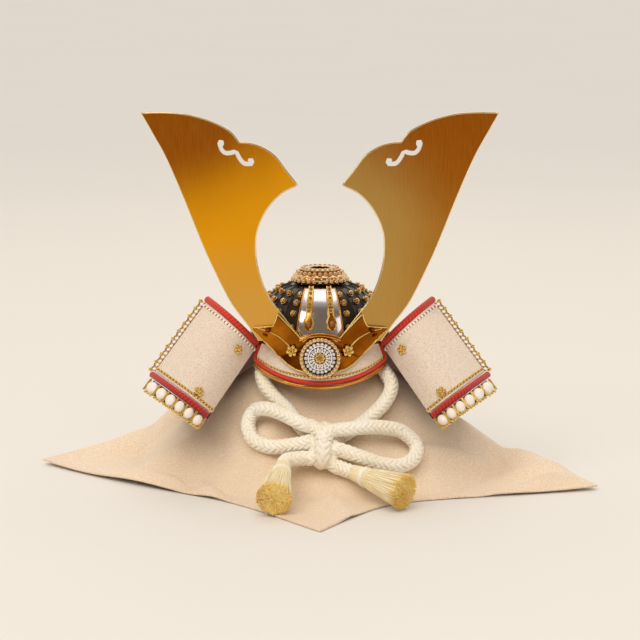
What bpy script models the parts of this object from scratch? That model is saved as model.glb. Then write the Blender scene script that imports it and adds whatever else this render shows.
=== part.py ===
"""Miniature samurai helmet on its draped stand.

Metres, +Z up, origin under the middle of the stand. The front looks along -Y and +X is to its right.
Each object is one closed solid with its own material.
"""
import math

import bmesh
import bpy
from mathutils import Matrix, Vector

# Clearance between touching pieces
GAP = 0.0003

# Stand
BASE_RADIUS = 0.054
BASE_HEIGHT = 0.008
NECK_RADIUS = 0.0205
NECK_FOOT_Z = 0.054
HEAD_RADIUS = 0.0235
HEAD_FOOT_Z = 0.088

# Cloth
CLOTH_THICKNESS = 0.0012
CLOTH_SIDE = 0.290
CLOTH_COLUMNS = 28
CLOTH_LEFT_CORNER_TURN = 95
CLOTH_RIGHT_CORNER_TURN = 72
CLOTH_FLARE_Z = 0.058
CLOTH_FLARE_RADIUS = 0.0275
CLOTH_FOOT_FRONT = 0.081
CLOTH_FOOT_SIDE = 0.109
CLOTH_FOOT_BACK = 0.090
CLOTH_CORNER_FRONT = 0.146
CLOTH_CORNER_SIDE = 0.167
CLOTH_CORNER_BACK = 0.150
FOLD_HEIGHT = 0.016

# Bowl
BOWL_HALF_WIDTH = 0.0370
BOWL_HALF_LENGTH = 0.0410
BOWL_RIM_Z = 0.0760
BOWL_HEIGHT = 0.0370
BOWL_WALL = 0.0015
BOWL_HOLE_RADIUS = 0.0075
BOWL_POWER = 2.8
RIB_COUNT = 20
RIB_HEIGHT = 0.0008
STUD_RADIUS = 0.0017
STUD_HEIGHT = 0.0017
STUD_RISES = (17, 31, 44, 56)
BAND_HEIGHT = 0.0075
BAND_WALL = 0.0010
RING_RADIUS = 0.0162
RING_HEIGHT = 0.0082
PLATE_WALL = 0.0006
PLATE_FOOT_HALF_WIDTH = 0.0136
PLATE_TOP_HALF_WIDTH = 0.0086
STRIP_WALL = 0.0011
STRIP_FOOT_X = 0.0070
STRIP_TOP_X = 0.0050
STRIP_TIP_RADIUS = 0.0029

# Visor
VISOR_TURN = 58
VISOR_TOP_Z = 0.0800
VISOR_RIM_Z = 0.0630
VISOR_CORNER_RISE = 0.0090
VISOR_SPREAD = 0.0060
VISOR_REACH = 0.0075
VISOR_HALF_WIDTH = BOWL_HALF_WIDTH + VISOR_SPREAD
VISOR_HALF_LENGTH = BOWL_HALF_LENGTH + VISOR_REACH
VISOR_WALL = 0.0014
VISOR_RIM_RADIUS = 0.00115
VISOR_PIPING_RADIUS = 0.0010

# Neck guard
LAME_COUNT = 4
LAME_WALL = 0.0011
LAME_LAP = 0.0026
LAME_LIFT = 0.0018
GUARD_TOP_TURN = 66
GUARD_HEM_TURN = 47
GUARD_TOP_Z = 0.0795
GUARD_HEM_Z = 0.0455
GUARD_SPREAD = 0.0490
GUARD_REACH = 0.0430
GUARD_HEM_HALF_WIDTH = BOWL_HALF_WIDTH + GUARD_SPREAD
GUARD_HEM_HALF_LENGTH = BOWL_HALF_LENGTH + GUARD_REACH

# Wings
WING_WALL = 0.0020
WING_BULGE = 0.0125
WING_TOP_SPAN = Vector((-0.0285, 0.0080, 0.0245))
WING_HEM_SPAN = Vector((-0.0320, 0.0190, 0.0200))
WING_TOP_PIPING_RADIUS = 0.0021
WING_HEM_PIPING_RADIUS = 0.0019
WING_LACING_REACH = 0.0095
WING_LACING_WALL = 0.0042
WING_TRIM_REACH = 0.0042
WING_TRIM_WALL = 0.0009
WING_STUD_RADIUS = 0.0030
WING_STUD_HEIGHT = 0.0016

# Horn socket, crest and horns
SOCKET_SPREAD = 0.0010
SOCKET_HALF_WIDTH = BOWL_HALF_WIDTH + SOCKET_SPREAD
SOCKET_FOOT_Z = 0.0672
SOCKET_HEIGHT = 0.0331
SOCKET_WALL = 0.0010
SOCKET_REACH = 0.0028
SOCKET_FRONT = BOWL_HALF_LENGTH + SOCKET_REACH
SOCKET_SWEEP = 0.0060
SOCKET_BLEND_HEIGHT = 0.0120
HORN_WALL = 0.0012
HORN_FOOT_X = 0.0098
HORN_FOOT_Z = 0.0843
HORN_REACH = 0.0930
HORN_HEIGHT = 0.1290
SCROLL_HALF_WIDTH = 0.0013
SCROLL_DOT_RADIUS = 0.0020
CREST_RADIUS = 0.0118
CREST_DEPTH = 0.0022
CREST_Z = 0.0756
STONE_RING_OUTER = 0.0092
STONE_RING_INNER = 0.0046
CREST_BOSS_RADIUS = 0.0040
KNOB_RADIUS = 0.0033
KNOB_HEIGHT = 0.0036
KNOB_SPREAD = 0.0154
KNOB_Z = 0.0794

# Cords
CORD_RADIUS = 0.0043
KNOT_HALF_WIDTH = 0.0058
KNOT_HALF_DEPTH = 0.0078
KNOT_HALF_HEIGHT = 0.0135
KNOT_ROUNDING = 0.0042
KNOT_LEAN = 35
KNOT_CENTRE = (0.0020, -0.0629, 0.0285)
TASSEL_LENGTH = 0.0370
TASSEL_NECK_RADIUS = 0.0050
TASSEL_END_RADIUS = 0.0094
TASSEL_SLEEVE = 0.22
TASSEL_LOCKS = 8

# Horn outline, from the foot up the inner edge, over the two lobes and down the outer edge.
# along is a share of the reach and up a share of the height.
HORN_OUTLINE = (
    {"along": 0.000, "up": 0.000},
    {"along": 0.075, "up": 0.066},
    {"along": 0.148, "up": 0.131},
    {"along": 0.202, "up": 0.183},
    {"along": 0.253, "up": 0.257},
    {"along": 0.289, "up": 0.352},
    {"along": 0.295, "up": 0.433},
    {"along": 0.286, "up": 0.488},
    {"along": 0.256, "up": 0.547},
    {"along": 0.202, "up": 0.610},
    {"along": 0.125, "up": 0.664},
    {"along": 0.034, "up": 0.697},
    {"along": 0.101, "up": 0.756},
    {"along": 0.171, "up": 0.820},
    {"along": 0.257, "up": 0.860},
    {"along": 0.332, "up": 0.875},
    {"along": 0.393, "up": 0.877},
    {"along": 0.453, "up": 0.926},
    {"along": 0.557, "up": 0.964},
    {"along": 0.672, "up": 0.989},
    {"along": 0.769, "up": 1.000},
    {"along": 0.885, "up": 1.003},
    {"along": 1.000, "up": 1.000},
    {"along": 0.931, "up": 0.914},
    {"along": 0.850, "up": 0.810},
    {"along": 0.749, "up": 0.647},
    {"along": 0.628, "up": 0.434},
    {"along": 0.556, "up": 0.320},
    {"along": 0.452, "up": 0.175},
    {"along": 0.344, "up": 0.073},
    {"along": 0.272, "up": 0.000},
)
HORN_CORNERS = (0, 11, 16, 22, 30)

# Middle line of the pierced scroll, in the same shares
SCROLL_LINE = (
    {"along": 0.503, "up": 0.888},
    {"along": 0.508, "up": 0.856},
    {"along": 0.482, "up": 0.833},
    {"along": 0.443, "up": 0.833},
    {"along": 0.412, "up": 0.842},
    {"along": 0.392, "up": 0.812},
    {"along": 0.362, "up": 0.788},
    {"along": 0.322, "up": 0.788},
    {"along": 0.322, "up": 0.810},
)

# Socket edges: across is a share of its half width, foot and top are shares of its height
SOCKET_EDGES = (
    {"across": 0.00, "foot": 0.00, "top": 0.62},
    {"across": 0.17, "foot": 0.01, "top": 0.59},
    {"across": 0.25, "foot": 0.03, "top": 0.53},
    {"across": 0.36, "foot": 0.06, "top": 0.68},
    {"across": 0.48, "foot": 0.13, "top": 0.82},
    {"across": 0.60, "foot": 0.24, "top": 0.96},
    {"across": 0.64, "foot": 0.28, "top": 1.00},
    {"across": 0.67, "foot": 0.32, "top": 0.88},
    {"across": 0.71, "foot": 0.37, "top": 0.79},
    {"across": 0.82, "foot": 0.50, "top": 0.77},
    {"across": 0.92, "foot": 0.62, "top": 0.76},
    {"across": 1.00, "foot": 0.70, "top": 0.75},
)

# Folds of the cloth: turn in degrees from the front, width in degrees, lift as a share of the
# fold height, from and to as shares of the way from the neck to the hem
CLOTH_FOLDS = (
    {"turn": -112, "width": 17, "lift": 1.15, "start": 0.45, "end": 1.12},
    {"turn": -72, "width": 13, "lift": 0.45, "start": 0.55, "end": 1.08},
    {"turn": -52, "width": 12, "lift": -0.30, "start": 0.15, "end": 0.60},
    {"turn": -27, "width": 14, "lift": 0.28, "start": 0.20, "end": 0.80},
    {"turn": 24, "width": 14, "lift": 0.30, "start": 0.20, "end": 0.85},
    {"turn": 50, "width": 13, "lift": -0.35, "start": 0.15, "end": 0.65},
    {"turn": 82, "width": 13, "lift": 0.90, "start": 0.48, "end": 1.10},
    {"turn": 112, "width": 15, "lift": 0.60, "start": 0.40, "end": 0.95},
    {"turn": 150, "width": 16, "lift": 0.55, "start": 0.30, "end": 0.90},
    {"turn": -150, "width": 16, "lift": 0.55, "start": 0.30, "end": 0.90},
)

# Cord routes, in metres, from end to end. Each is one smooth line through these points.
CORD_ROUTES = {
    "chin_cord": (
        (-0.0064, -0.0535, 0.0332),
        (-0.0125, -0.0492, 0.0385),
        (-0.0190, -0.0435, 0.0455),
        (-0.0266, -0.0375, 0.0520),
        (-0.0325, -0.0310, 0.0590),
        (-0.0335, -0.0210, 0.0660),
        (-0.0294, -0.0030, 0.0700),
        (-0.0212, 0.0192, 0.0705),
        (0.0000, 0.0278, 0.0705),
        (0.0208, 0.0192, 0.0705),
        (0.0291, -0.0010, 0.0700),
        (0.0335, -0.0140, 0.0680),
        (0.0380, -0.0240, 0.0630),
        (0.0412, -0.0320, 0.0570),
        (0.0375, -0.0385, 0.0490),
        (0.0280, -0.0465, 0.0410),
        (0.0180, -0.0524, 0.0351),
        (0.0104, -0.0543, 0.0313),
    ),
    "bow_loop_left": (
        (-0.0048, -0.0603, 0.0391),
        (-0.0080, -0.0598, 0.0396),
        (-0.0135, -0.0580, 0.0418),
        (-0.0215, -0.0530, 0.0448),
        (-0.0305, -0.0470, 0.0465),
        (-0.0378, -0.0425, 0.0440),
        (-0.0412, -0.0450, 0.0370),
        (-0.0382, -0.0540, 0.0305),
        (-0.0290, -0.0605, 0.0275),
        (-0.0180, -0.0628, 0.0285),
        (-0.0085, -0.0640, 0.0303),
        (-0.0048, -0.0641, 0.0305),
    ),
    "bow_loop_right": (
        (0.0088, -0.0616, 0.0371),
        (0.0120, -0.0620, 0.0376),
        (0.0170, -0.0621, 0.0381),
        (0.0255, -0.0592, 0.0383),
        (0.0355, -0.0540, 0.0372),
        (0.0465, -0.0495, 0.0338),
        (0.0545, -0.0505, 0.0265),
        (0.0532, -0.0590, 0.0203),
        (0.0450, -0.0658, 0.0175),
        (0.0340, -0.0685, 0.0193),
        (0.0230, -0.0688, 0.0232),
        (0.0130, -0.0675, 0.0265),
        (0.0088, -0.0671, 0.0271),
    ),
    "cord_tail_left": (
        (-0.0048, -0.0689, 0.0226),
        (-0.0082, -0.0689, 0.0227),
        (-0.0130, -0.0702, 0.0226),
        (-0.0175, -0.0718, 0.0224),
        (-0.0200, -0.0752, 0.0217),
        (-0.0207, -0.0805, 0.0204),
    ),
    "cord_tail_right": (
        (0.0088, -0.0688, 0.0178),
        (0.0112, -0.0696, 0.0174),
        (0.0142, -0.0718, 0.0167),
        (0.0190, -0.0760, 0.0160),
    ),
}
TASSEL_ENDS = {
    "left": (-0.0250, -0.1150, 0.0113),
    "right": (0.0450, -0.0995, 0.0113),
}


def main():
    clear_scene()
    parts = new_collection("samurai_helmet")
    tools = new_collection("cutters")
    build_stand(parts)
    build_bowl(parts, tools)
    build_visor(parts)
    build_neck_guard(parts)
    for side, word in ((-1, "left"), (1, "right")):
        build_wing(parts, side, word)
        build_horn(parts, tools, side, word)
        build_knob(parts, side, word)
    build_socket(parts)
    build_crest(parts)
    build_cords(parts)


def clear_scene():
    """Remove the objects that the file starts with."""
    for item in list(bpy.data.objects):
        bpy.data.objects.remove(item, do_unlink=True)


def new_collection(name):
    group = bpy.data.collections.new(name)
    bpy.context.scene.collection.children.link(group)
    return group


def paint(name, colour, roughness, metallic):
    """A plain material, made once for each name."""
    found = bpy.data.materials.get(name)
    if found:
        return found
    made = bpy.data.materials.new(name)
    made.use_nodes = True
    shader = made.node_tree.nodes["Principled BSDF"]
    shader.inputs["Base Color"].default_value = (*colour, 1.0)
    shader.inputs["Roughness"].default_value = roughness
    shader.inputs["Metallic"].default_value = metallic
    made.diffuse_color = (*colour, 1.0)
    return made


FINISHES = {
    "gold": ((0.83, 0.58, 0.22), 0.25, 1.0),
    "satin_gold": ((0.66, 0.45, 0.19), 0.35, 1.0),
    "silver": ((0.80, 0.80, 0.80), 0.25, 1.0),
    "black_lacquer": ((0.02, 0.018, 0.016), 0.25, 0.0),
    "white_leather": ((0.74, 0.67, 0.60), 0.65, 0.0),
    "red_cord": ((0.60, 0.03, 0.01), 0.70, 0.0),
    "white_lacing": ((0.85, 0.76, 0.62), 0.60, 0.0),
    "cream_cord": ((0.86, 0.75, 0.55), 0.60, 0.0),
    "tassel_silk": ((0.87, 0.72, 0.42), 0.40, 0.0),
    "linen": ((0.68, 0.53, 0.40), 0.90, 0.0),
    "clear_stone": ((0.85, 0.85, 0.88), 0.10, 0.0),
    "wood": ((0.45, 0.30, 0.17), 0.60, 0.0),
}


def keep(group, name, data, finish):
    """Put a mesh or curve in a collection as a named object with its finish."""
    item = bpy.data.objects.new(name, data)
    data.materials.append(paint(finish, *FINISHES[finish]))
    group.objects.link(item)
    return item


def sheet(group, name, place, columns, rows, wall, finish, offset=0.0):
    """A grid laid by place(across, along), both 0 to 1, and given its wall."""
    mesh = bpy.data.meshes.new(name)
    bm = bmesh.new()
    bmesh.ops.create_grid(bm, x_segments=columns, y_segments=rows, size=1.0)
    for vert in bm.verts:
        vert.co = place((vert.co.x + 1) / 2, (vert.co.y + 1) / 2)
    bmesh.ops.remove_doubles(bm, verts=bm.verts, dist=0.000001)
    bm.to_mesh(mesh)
    bm.free()
    item = keep(group, name, mesh, finish)
    solid = item.modifiers.new("wall", "SOLIDIFY")
    solid.thickness = wall
    solid.offset = offset
    solid.use_even_offset = True
    mesh.shade_smooth()
    return item


def turned(group, name, profile, finish, steps=24):
    """A profile of (radius, height), outer side top to bottom, turned round Z."""
    mesh = bpy.data.meshes.new(name)
    closed = profile[0][0] > 0
    count = len(profile)
    edges = [(i, (i + 1) % count) for i in range(count if closed else count - 1)]
    mesh.from_pydata([(r, 0.0, z) for r, z in profile], edges, [])
    item = keep(group, name, mesh, finish)
    screw = item.modifiers.new("turn", "SCREW")
    screw.steps = steps
    screw.render_steps = steps
    screw.use_merge_vertices = True
    screw.merge_threshold = 0.00001
    screw.use_smooth_shade = True
    return item


def smooth_line(points, step, closed=False):
    """Points at an even step along one smooth curve through the given ones."""
    knots = [Vector(p) for p in points]
    count = len(knots)
    fine = []
    for i in range(count if closed else count - 1):
        a = knots[i - 1] if closed or i else knots[0] * 2 - knots[1]
        b = knots[i]
        c = knots[(i + 1) % count]
        d = knots[(i + 2) % count] if closed or i + 2 < count else c * 2 - b
        for k in range(12):
            t = k / 12
            fine.append(
                0.5 * (2 * b + (c - a) * t + (2 * a - 5 * b + 4 * c - d) * t**2
                       + (3 * b - a - 3 * c + d) * t**3)
            )
    fine.append(knots[0] if closed else knots[-1])
    total = sum((q - p).length for p, q in zip(fine, fine[1:]))
    pieces = max(2, round(total / step))
    out, gone, k = [], 0.0, 0
    for n in range(pieces + 1):
        target = total * n / pieces
        while k < len(fine) - 2 and gone + (fine[k + 1] - fine[k]).length < target:
            gone += (fine[k + 1] - fine[k]).length
            k += 1
        span = (fine[k + 1] - fine[k]).length
        out.append(fine[k].lerp(fine[k + 1], min(1.0, (target - gone) / span if span else 0.0)))
    return out[:-1] if closed else out


def tube(group, name, points, radius, finish, resolution=2, closed=False):
    """A round tube through the points, with filled ends."""
    curve = bpy.data.curves.new(name, "CURVE")
    curve.dimensions = "3D"
    curve.bevel_depth = radius
    curve.bevel_resolution = resolution
    curve.use_fill_caps = not closed
    spline = curve.splines.new("POLY")
    spline.points.add(len(points) - 1)
    for target, point in zip(spline.points, points):
        target.co = (*point, 1.0)
    spline.use_cyclic_u = closed
    return keep(group, name, curve, finish)


def around(half_width, half_length, turn, z):
    """A point on an oval round the axis, turn in degrees from the front."""
    angle = math.radians(turn)
    return Vector((half_width * math.sin(angle), -half_length * math.cos(angle), z))


def weights(turn):
    """How much a direction belongs to the front, the side and the back."""
    ahead = math.cos(math.radians(turn))
    return max(0.0, ahead) ** 2, 1 - ahead**2, max(0.0, -ahead) ** 2


def mixed(turn, front, side, back):
    f, s, b = weights(turn)
    return front * f + side * s + back * b


def oval_height(radius, reach, height):
    """Height of the bowl's curve at a radius."""
    return height * (1 - (radius / reach) ** BOWL_POWER) ** (1 / BOWL_POWER)


# Stand and cloth

def head_under(radius):
    """Underside of the cloth on the stand's head, which fills the bowl's crown."""
    reach = BOWL_HALF_WIDTH - BOWL_WALL
    crown = oval_height(radius + CLOTH_THICKNESS, reach, BOWL_HEIGHT - BOWL_WALL)
    return BOWL_RIM_Z + crown - CLOTH_THICKNESS * 1.2 - 2 * GAP


def corner_turn(turn):
    """Turn of the side corner that a direction lies nearer to."""
    return CLOTH_RIGHT_CORNER_TURN if turn % 360 <= 180 else CLOTH_LEFT_CORNER_TURN


def draped_turn(flat):
    """Where a direction of the flat square lies once its side corners are drawn forward or back."""
    bent = abs((flat + 180) % 360 - 180)
    corner = corner_turn(flat)
    turn = bent * corner / 90 if bent < 90 else corner + (bent - 90) * (180 - corner) / 90
    return turn if flat % 360 <= 180 else -turn


def hem_radius(turn):
    """Plan radius of the cloth's edge: a square, less what the slopes take up."""
    bent = abs((turn + 180) % 360 - 180)
    corner = corner_turn(turn)
    flat = bent * 90 / corner if bent < corner else 90 + (bent - corner) * 90 / (180 - corner)
    angle = math.radians(flat)
    half_diagonal = CLOTH_SIDE / math.sqrt(2)
    edge = half_diagonal / (abs(math.cos(angle)) + abs(math.sin(angle)))
    reach = mixed(flat, CLOTH_CORNER_FRONT, CLOTH_CORNER_SIDE, CLOTH_CORNER_BACK)
    return edge - (half_diagonal - reach)


def skirt_under(turn, share):
    """Underside of the cloth from its flare at share 0 to its hem at share 1."""
    hem = hem_radius(turn)
    radius = CLOTH_FLARE_RADIUS + share * (hem - CLOTH_FLARE_RADIUS)
    foot = min(0.92 * hem, mixed(turn, CLOTH_FOOT_FRONT, CLOTH_FOOT_SIDE, CLOTH_FOOT_BACK))
    way = min(1.0, (radius - CLOTH_FLARE_RADIUS) / (foot - CLOTH_FLARE_RADIUS))
    bend = mixed(turn, 1.0, 1.6, 1.2)
    fall = mixed(turn, 1.5, 1.1, 1.3)
    z = CLOTH_FLARE_Z * (1 - way**bend) ** fall
    for fold in CLOTH_FOLDS:
        off = ((turn - fold["turn"] + 180) % 360 - 180) / fold["width"]
        run = (share - fold["start"]) / (fold["end"] - fold["start"])
        if 0 < run < 1:
            z += FOLD_HEIGHT * fold["lift"] * math.exp(-off * off) * math.sin(math.pi * run) ** 2
    return around(radius, radius, turn, max(0.0, z))


HEAD_SHARES = (0.0, 0.45, 0.80, 1.0)
SKIRT_SHARES = (0.0, 0.12, 0.24, 0.36, 0.49, 0.62, 0.75, 0.88, 1.0)


def cloth_rows():
    """The cloth's rings from its middle to its hem, as functions of the turn."""
    rows = []
    for share in HEAD_SHARES:
        radius = share * (HEAD_RADIUS + 1.7 * GAP)
        rows.append(lambda turn, r=radius: around(r, r, turn, head_under(r)))
    for radius, z in (
        (HEAD_RADIUS + 1.7 * GAP, HEAD_FOOT_Z),
        (NECK_RADIUS + 1.7 * GAP, HEAD_FOOT_Z - 0.006),
        (NECK_RADIUS + 1.7 * GAP, CLOTH_FLARE_Z + 0.006),
    ):
        rows.append(lambda turn, r=radius, h=z: around(r, r, turn, h))
    for share in SKIRT_SHARES:
        rows.append(lambda turn, s=share: skirt_under(turn, s))
    return rows


def build_stand(parts):
    head = [(s * HEAD_RADIUS, head_under(s * HEAD_RADIUS) - 1.5 * GAP) for s in HEAD_SHARES]
    profile = head + [
        (HEAD_RADIUS, HEAD_FOOT_Z),
        (NECK_RADIUS, HEAD_FOOT_Z - 0.006),
        (NECK_RADIUS, NECK_FOOT_Z),
        (BASE_RADIUS, BASE_HEIGHT),
        (BASE_RADIUS, 0.0),
        (0.0, 0.0),
    ]
    turned(parts, "stand_core", profile, "wood", steps=CLOTH_COLUMNS)
    rows = cloth_rows()

    def place(across, along):
        return rows[round(along * (len(rows) - 1))](draped_turn(360 * across))

    sheet(
        parts, "display_cloth", place, CLOTH_COLUMNS, len(rows) - 1,
        CLOTH_THICKNESS, "linen", offset=-1.0,
    )


# Bowl

def bowl_point(turn, rise, out=0.0):
    """A point on the bowl or a little outside it, turn and rise in degrees."""
    wide = math.cos(math.radians(rise)) ** (2 / BOWL_POWER)
    high = math.sin(math.radians(rise)) ** (2 / BOWL_POWER)
    spot = around(BOWL_HALF_WIDTH + out, BOWL_HALF_LENGTH + out, turn, 0.0) * wide
    spot.z = BOWL_RIM_Z + (BOWL_HEIGHT + out) * high
    return spot


def plate_point(x, rise, out):
    """A point on the bowl's front at a sideways place."""
    wide = math.cos(math.radians(rise)) ** (2 / BOWL_POWER)
    turn = math.degrees(math.asin(x / ((BOWL_HALF_WIDTH + out) * wide)))
    return bowl_point(turn, rise, out)


BOWL_RISES = (0, 12, 24, 37, 50, 62, 73)
FRONT_TURN = 23
PLATE_RISES = (9, 18, 27, 36, 45, 54, 63, 68)
# along runs from the point of the tip to the crown, width is a share of the tip's radius
STRIP_WIDTHS = (
    {"along": 0.00, "width": 0.10},
    {"along": 0.06, "width": 0.80},
    {"along": 0.13, "width": 1.00},
    {"along": 0.20, "width": 0.80},
    {"along": 0.26, "width": 0.45},
    {"along": 0.45, "width": 0.52},
    {"along": 0.64, "width": 0.50},
    {"along": 0.82, "width": 0.46},
    {"along": 1.00, "width": 0.40},
)


def build_bowl(parts, tools):
    hole = math.acos((BOWL_HOLE_RADIUS / BOWL_HALF_WIDTH) ** (BOWL_POWER / 2))
    rises = (*BOWL_RISES, math.degrees(hole))

    def place(across, along):
        turn, rise = 360 * across, rises[round(along * (len(rises) - 1))]
        ridge = round(across * 2 * RIB_COUNT) % 2 == 0
        bare = min(turn, 360 - turn) < FRONT_TURN or not 12 < rise < 70
        return bowl_point(turn, rise, RIB_HEIGHT if ridge and not bare else 0.0)

    bowl = sheet(
        parts, "bowl", place, 2 * RIB_COUNT, len(rises) - 1, BOWL_WALL, "black_lacquer", offset=-1.0
    )
    studs = bmesh.new()
    for column in range(RIB_COUNT):
        turn = (column + 0.5) * 360 / RIB_COUNT
        if min(turn, 360 - turn) < FRONT_TURN:
            continue
        for rise in STUD_RISES:
            spot = bowl_point(turn, rise)
            outward = bowl_point(turn, rise, 0.001) - spot
            tilt = Vector((0, 0, 1)).rotation_difference(outward).to_matrix().to_4x4()
            bmesh.ops.create_cone(
                studs, cap_ends=True, segments=6, radius1=STUD_RADIUS, radius2=0.45 * STUD_RADIUS,
                depth=2 * STUD_HEIGHT, matrix=Matrix.Translation(spot) @ tilt,
            )
    mesh = bpy.data.meshes.new("studs")
    bmesh.ops.recalc_face_normals(studs, faces=studs.faces)
    studs.to_mesh(mesh)
    studs.free()
    field = keep(tools, "studs", mesh, "gold")
    field.hide_render = True
    field.display_type = "WIRE"
    join = bowl.modifiers.new("studs", "BOOLEAN")
    join.operation = "UNION"
    join.object = field

    def band(across, along):
        out = GAP + BAND_WALL / 2
        z = BOWL_RIM_Z + 0.0005 + BAND_HEIGHT * along
        return around(BOWL_HALF_WIDTH + out, BOWL_HALF_LENGTH + out, 360 * across, z)

    sheet(parts, "waist_band", band, 2 * RIB_COUNT, 1, BAND_WALL, "gold")

    def plate(across, along):
        rise = PLATE_RISES[round(along * (len(PLATE_RISES) - 1))]
        half = PLATE_FOOT_HALF_WIDTH + (PLATE_TOP_HALF_WIDTH - PLATE_FOOT_HALF_WIDTH) * along
        return plate_point((2 * across - 1) * half, rise, 1.3 * GAP + PLATE_WALL / 2)

    sheet(parts, "front_plate", plate, 4, len(PLATE_RISES) - 1, PLATE_WALL, "silver")
    for side, word in ((-1, "left"), (1, "right")):

        def strip(across, along, side=side):
            row = STRIP_WIDTHS[round(along * (len(STRIP_WIDTHS) - 1))]
            rise = PLATE_RISES[0] + 5 + row["along"] * (PLATE_RISES[-1] - PLATE_RISES[0] - 6)
            middle = STRIP_FOOT_X + (STRIP_TOP_X - STRIP_FOOT_X) * row["along"]
            x = side * middle + (2 * across - 1) * row["width"] * STRIP_TIP_RADIUS
            return plate_point(x, rise, 2.8 * GAP + PLATE_WALL + STRIP_WALL / 2)

        sheet(parts, "front_strip_" + word, strip, 2, len(STRIP_WIDTHS) - 1, STRIP_WALL, "gold")

    def seat(radius):
        return BOWL_RIM_Z + oval_height(radius, BOWL_HALF_LENGTH, BOWL_HEIGHT) + 1.3 * GAP

    r, foot = RING_RADIUS, seat(BOWL_HOLE_RADIUS)
    top = foot + RING_HEIGHT
    profile = (
        (0.37 * r, top - 0.0006),
        (0.42 * r, top),
        (0.66 * r, top),
        (0.72 * r, top - 0.0010),
        (0.70 * r, top - 0.0026),
        (0.86 * r, top - 0.0034),
        (0.95 * r, top - 0.0042),
        (r, top - 0.0056),
        (0.96 * r, foot),
        (0.90 * r, seat(0.90 * r)),
        (0.50 * r, foot),
        (0.37 * r, foot),
    )
    turned(parts, "crown_ring", profile, "gold", steps=20)


# Visor

def visor_top(extra=0.0):
    """Half width and half length of the visor's inner edge, outside the waist band."""
    out = 2 * GAP + BAND_WALL + VISOR_WALL / 2 + extra
    return BOWL_HALF_WIDTH + out, BOWL_HALF_LENGTH + out


def visor_point(turn, way):
    """Middle of the visor's wall, way 0 at the bowl and 1 at the rim."""
    top = around(*visor_top(), turn, VISOR_TOP_Z)
    corner = (1 - math.cos(math.radians(turn))) / (1 - math.cos(math.radians(VISOR_TURN)))
    rim_z = VISOR_RIM_Z + VISOR_CORNER_RISE * corner
    return top.lerp(around(VISOR_HALF_WIDTH, VISOR_HALF_LENGTH, turn, rim_z), way)


def visor_edge(turn, beyond):
    """A point past the visor's rim, in the wall's own slope."""
    slope = (visor_point(turn, 1) - visor_point(turn, 0)).normalized()
    return visor_point(turn, 1) + slope * beyond


def build_visor(parts):
    def place(across, along):
        return visor_point(VISOR_TURN * (2 * across - 1), along)

    sheet(parts, "visor", place, 16, 2, VISOR_WALL, "white_leather")
    beside = math.degrees((4 * GAP + VISOR_PIPING_RADIUS) / VISOR_HALF_WIDTH)
    red = GAP + VISOR_PIPING_RADIUS
    gold = red + VISOR_PIPING_RADIUS + GAP + VISOR_RIM_RADIUS
    turns = [VISOR_TURN * (n / 8 - 1) for n in range(17)]
    ends = (0.15, 0.5, 0.85)
    piping = [visor_point(-VISOR_TURN - beside, way) for way in ends]
    piping += [visor_edge(-VISOR_TURN - 0.8 * beside, 0.5 * red)]
    piping += [visor_edge(turn, red) for turn in turns]
    piping += [visor_edge(VISOR_TURN + 0.8 * beside, 0.5 * red)]
    piping += [visor_point(VISOR_TURN + beside, way) for way in reversed(ends)]
    tube(parts, "visor_piping", piping, VISOR_PIPING_RADIUS, "red_cord")
    tube(parts, "visor_rim", [visor_edge(turn, gold) for turn in turns], VISOR_RIM_RADIUS, "gold")


# Neck guard

def guard_point(side, slant, lift=0.0):
    """Middle of the neck guard: side runs 0 at the left front, round the back, to 1."""
    top_turn = -(GUARD_TOP_TURN + side * (360 - 2 * GUARD_TOP_TURN))
    hem_turn = -(GUARD_HEM_TURN + side * (360 - 2 * GUARD_HEM_TURN))
    out = 2 * GAP + BAND_WALL + LAME_WALL
    top = around(BOWL_HALF_WIDTH + out, BOWL_HALF_LENGTH + out, top_turn, GUARD_TOP_Z)
    hem = around(GUARD_HEM_HALF_WIDTH, GUARD_HEM_HALF_LENGTH, hem_turn, GUARD_HEM_Z)
    fall = hem - top
    flat = Vector((fall.x, fall.y, 0.0))
    normal = Vector((-flat.x * fall.z, -flat.y * fall.z, flat.length_squared)).normalized()
    return top + fall * slant + normal * lift


def build_neck_guard(parts):
    run = (guard_point(0.5, 1) - guard_point(0.5, 0)).length
    lap = LAME_LAP / run
    step = (1 - lap) / LAME_COUNT
    for lame in range(LAME_COUNT):

        def place(across, along, start=lame * step):
            lift = LAME_LIFT * (1 - along)
            return guard_point(across, start + along * (step + lap), lift)

        sheet(parts, f"neck_lame_{lame + 1}", place, 24, 1, LAME_WALL, "white_lacing")


# Wings

def wing_corners():
    """The left wing's front line, from the bowl to the hem, and its back line."""
    forward = (guard_point(0, 0.5) - guard_point(0.02, 0.5)).normalized()
    away = forward * (WING_WALL / 2 + 2 * GAP)
    lift = Vector((0.0, 0.0, LAME_LIFT / 2))
    run = (guard_point(0, 1) - guard_point(0, 0)).length
    start = (2 * WING_TOP_PIPING_RADIUS + 3 * GAP) / run
    top, hem = guard_point(0, start) + away + lift, guard_point(0, 1.0) + away + lift
    return top, hem, top + WING_TOP_SPAN, hem + WING_HEM_SPAN


def wing_point(side, down, back, out=0.0):
    """A point on a wing: down 0 at the bowl to 1 at the hem, back 0 at the fold to 1."""
    top, hem, far_top, far_hem = wing_corners()
    front, rear = top.lerp(hem, down), far_top.lerp(far_hem, down)
    swell = Vector((0.10, -0.97, 0.20)) * (WING_BULGE * 4 * back * (1 - back))
    spot = front.lerp(rear, back) + swell
    if out:
        spot += wing_normal(down, back) * out
    return Vector((spot.x * -side, spot.y, spot.z))


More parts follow.
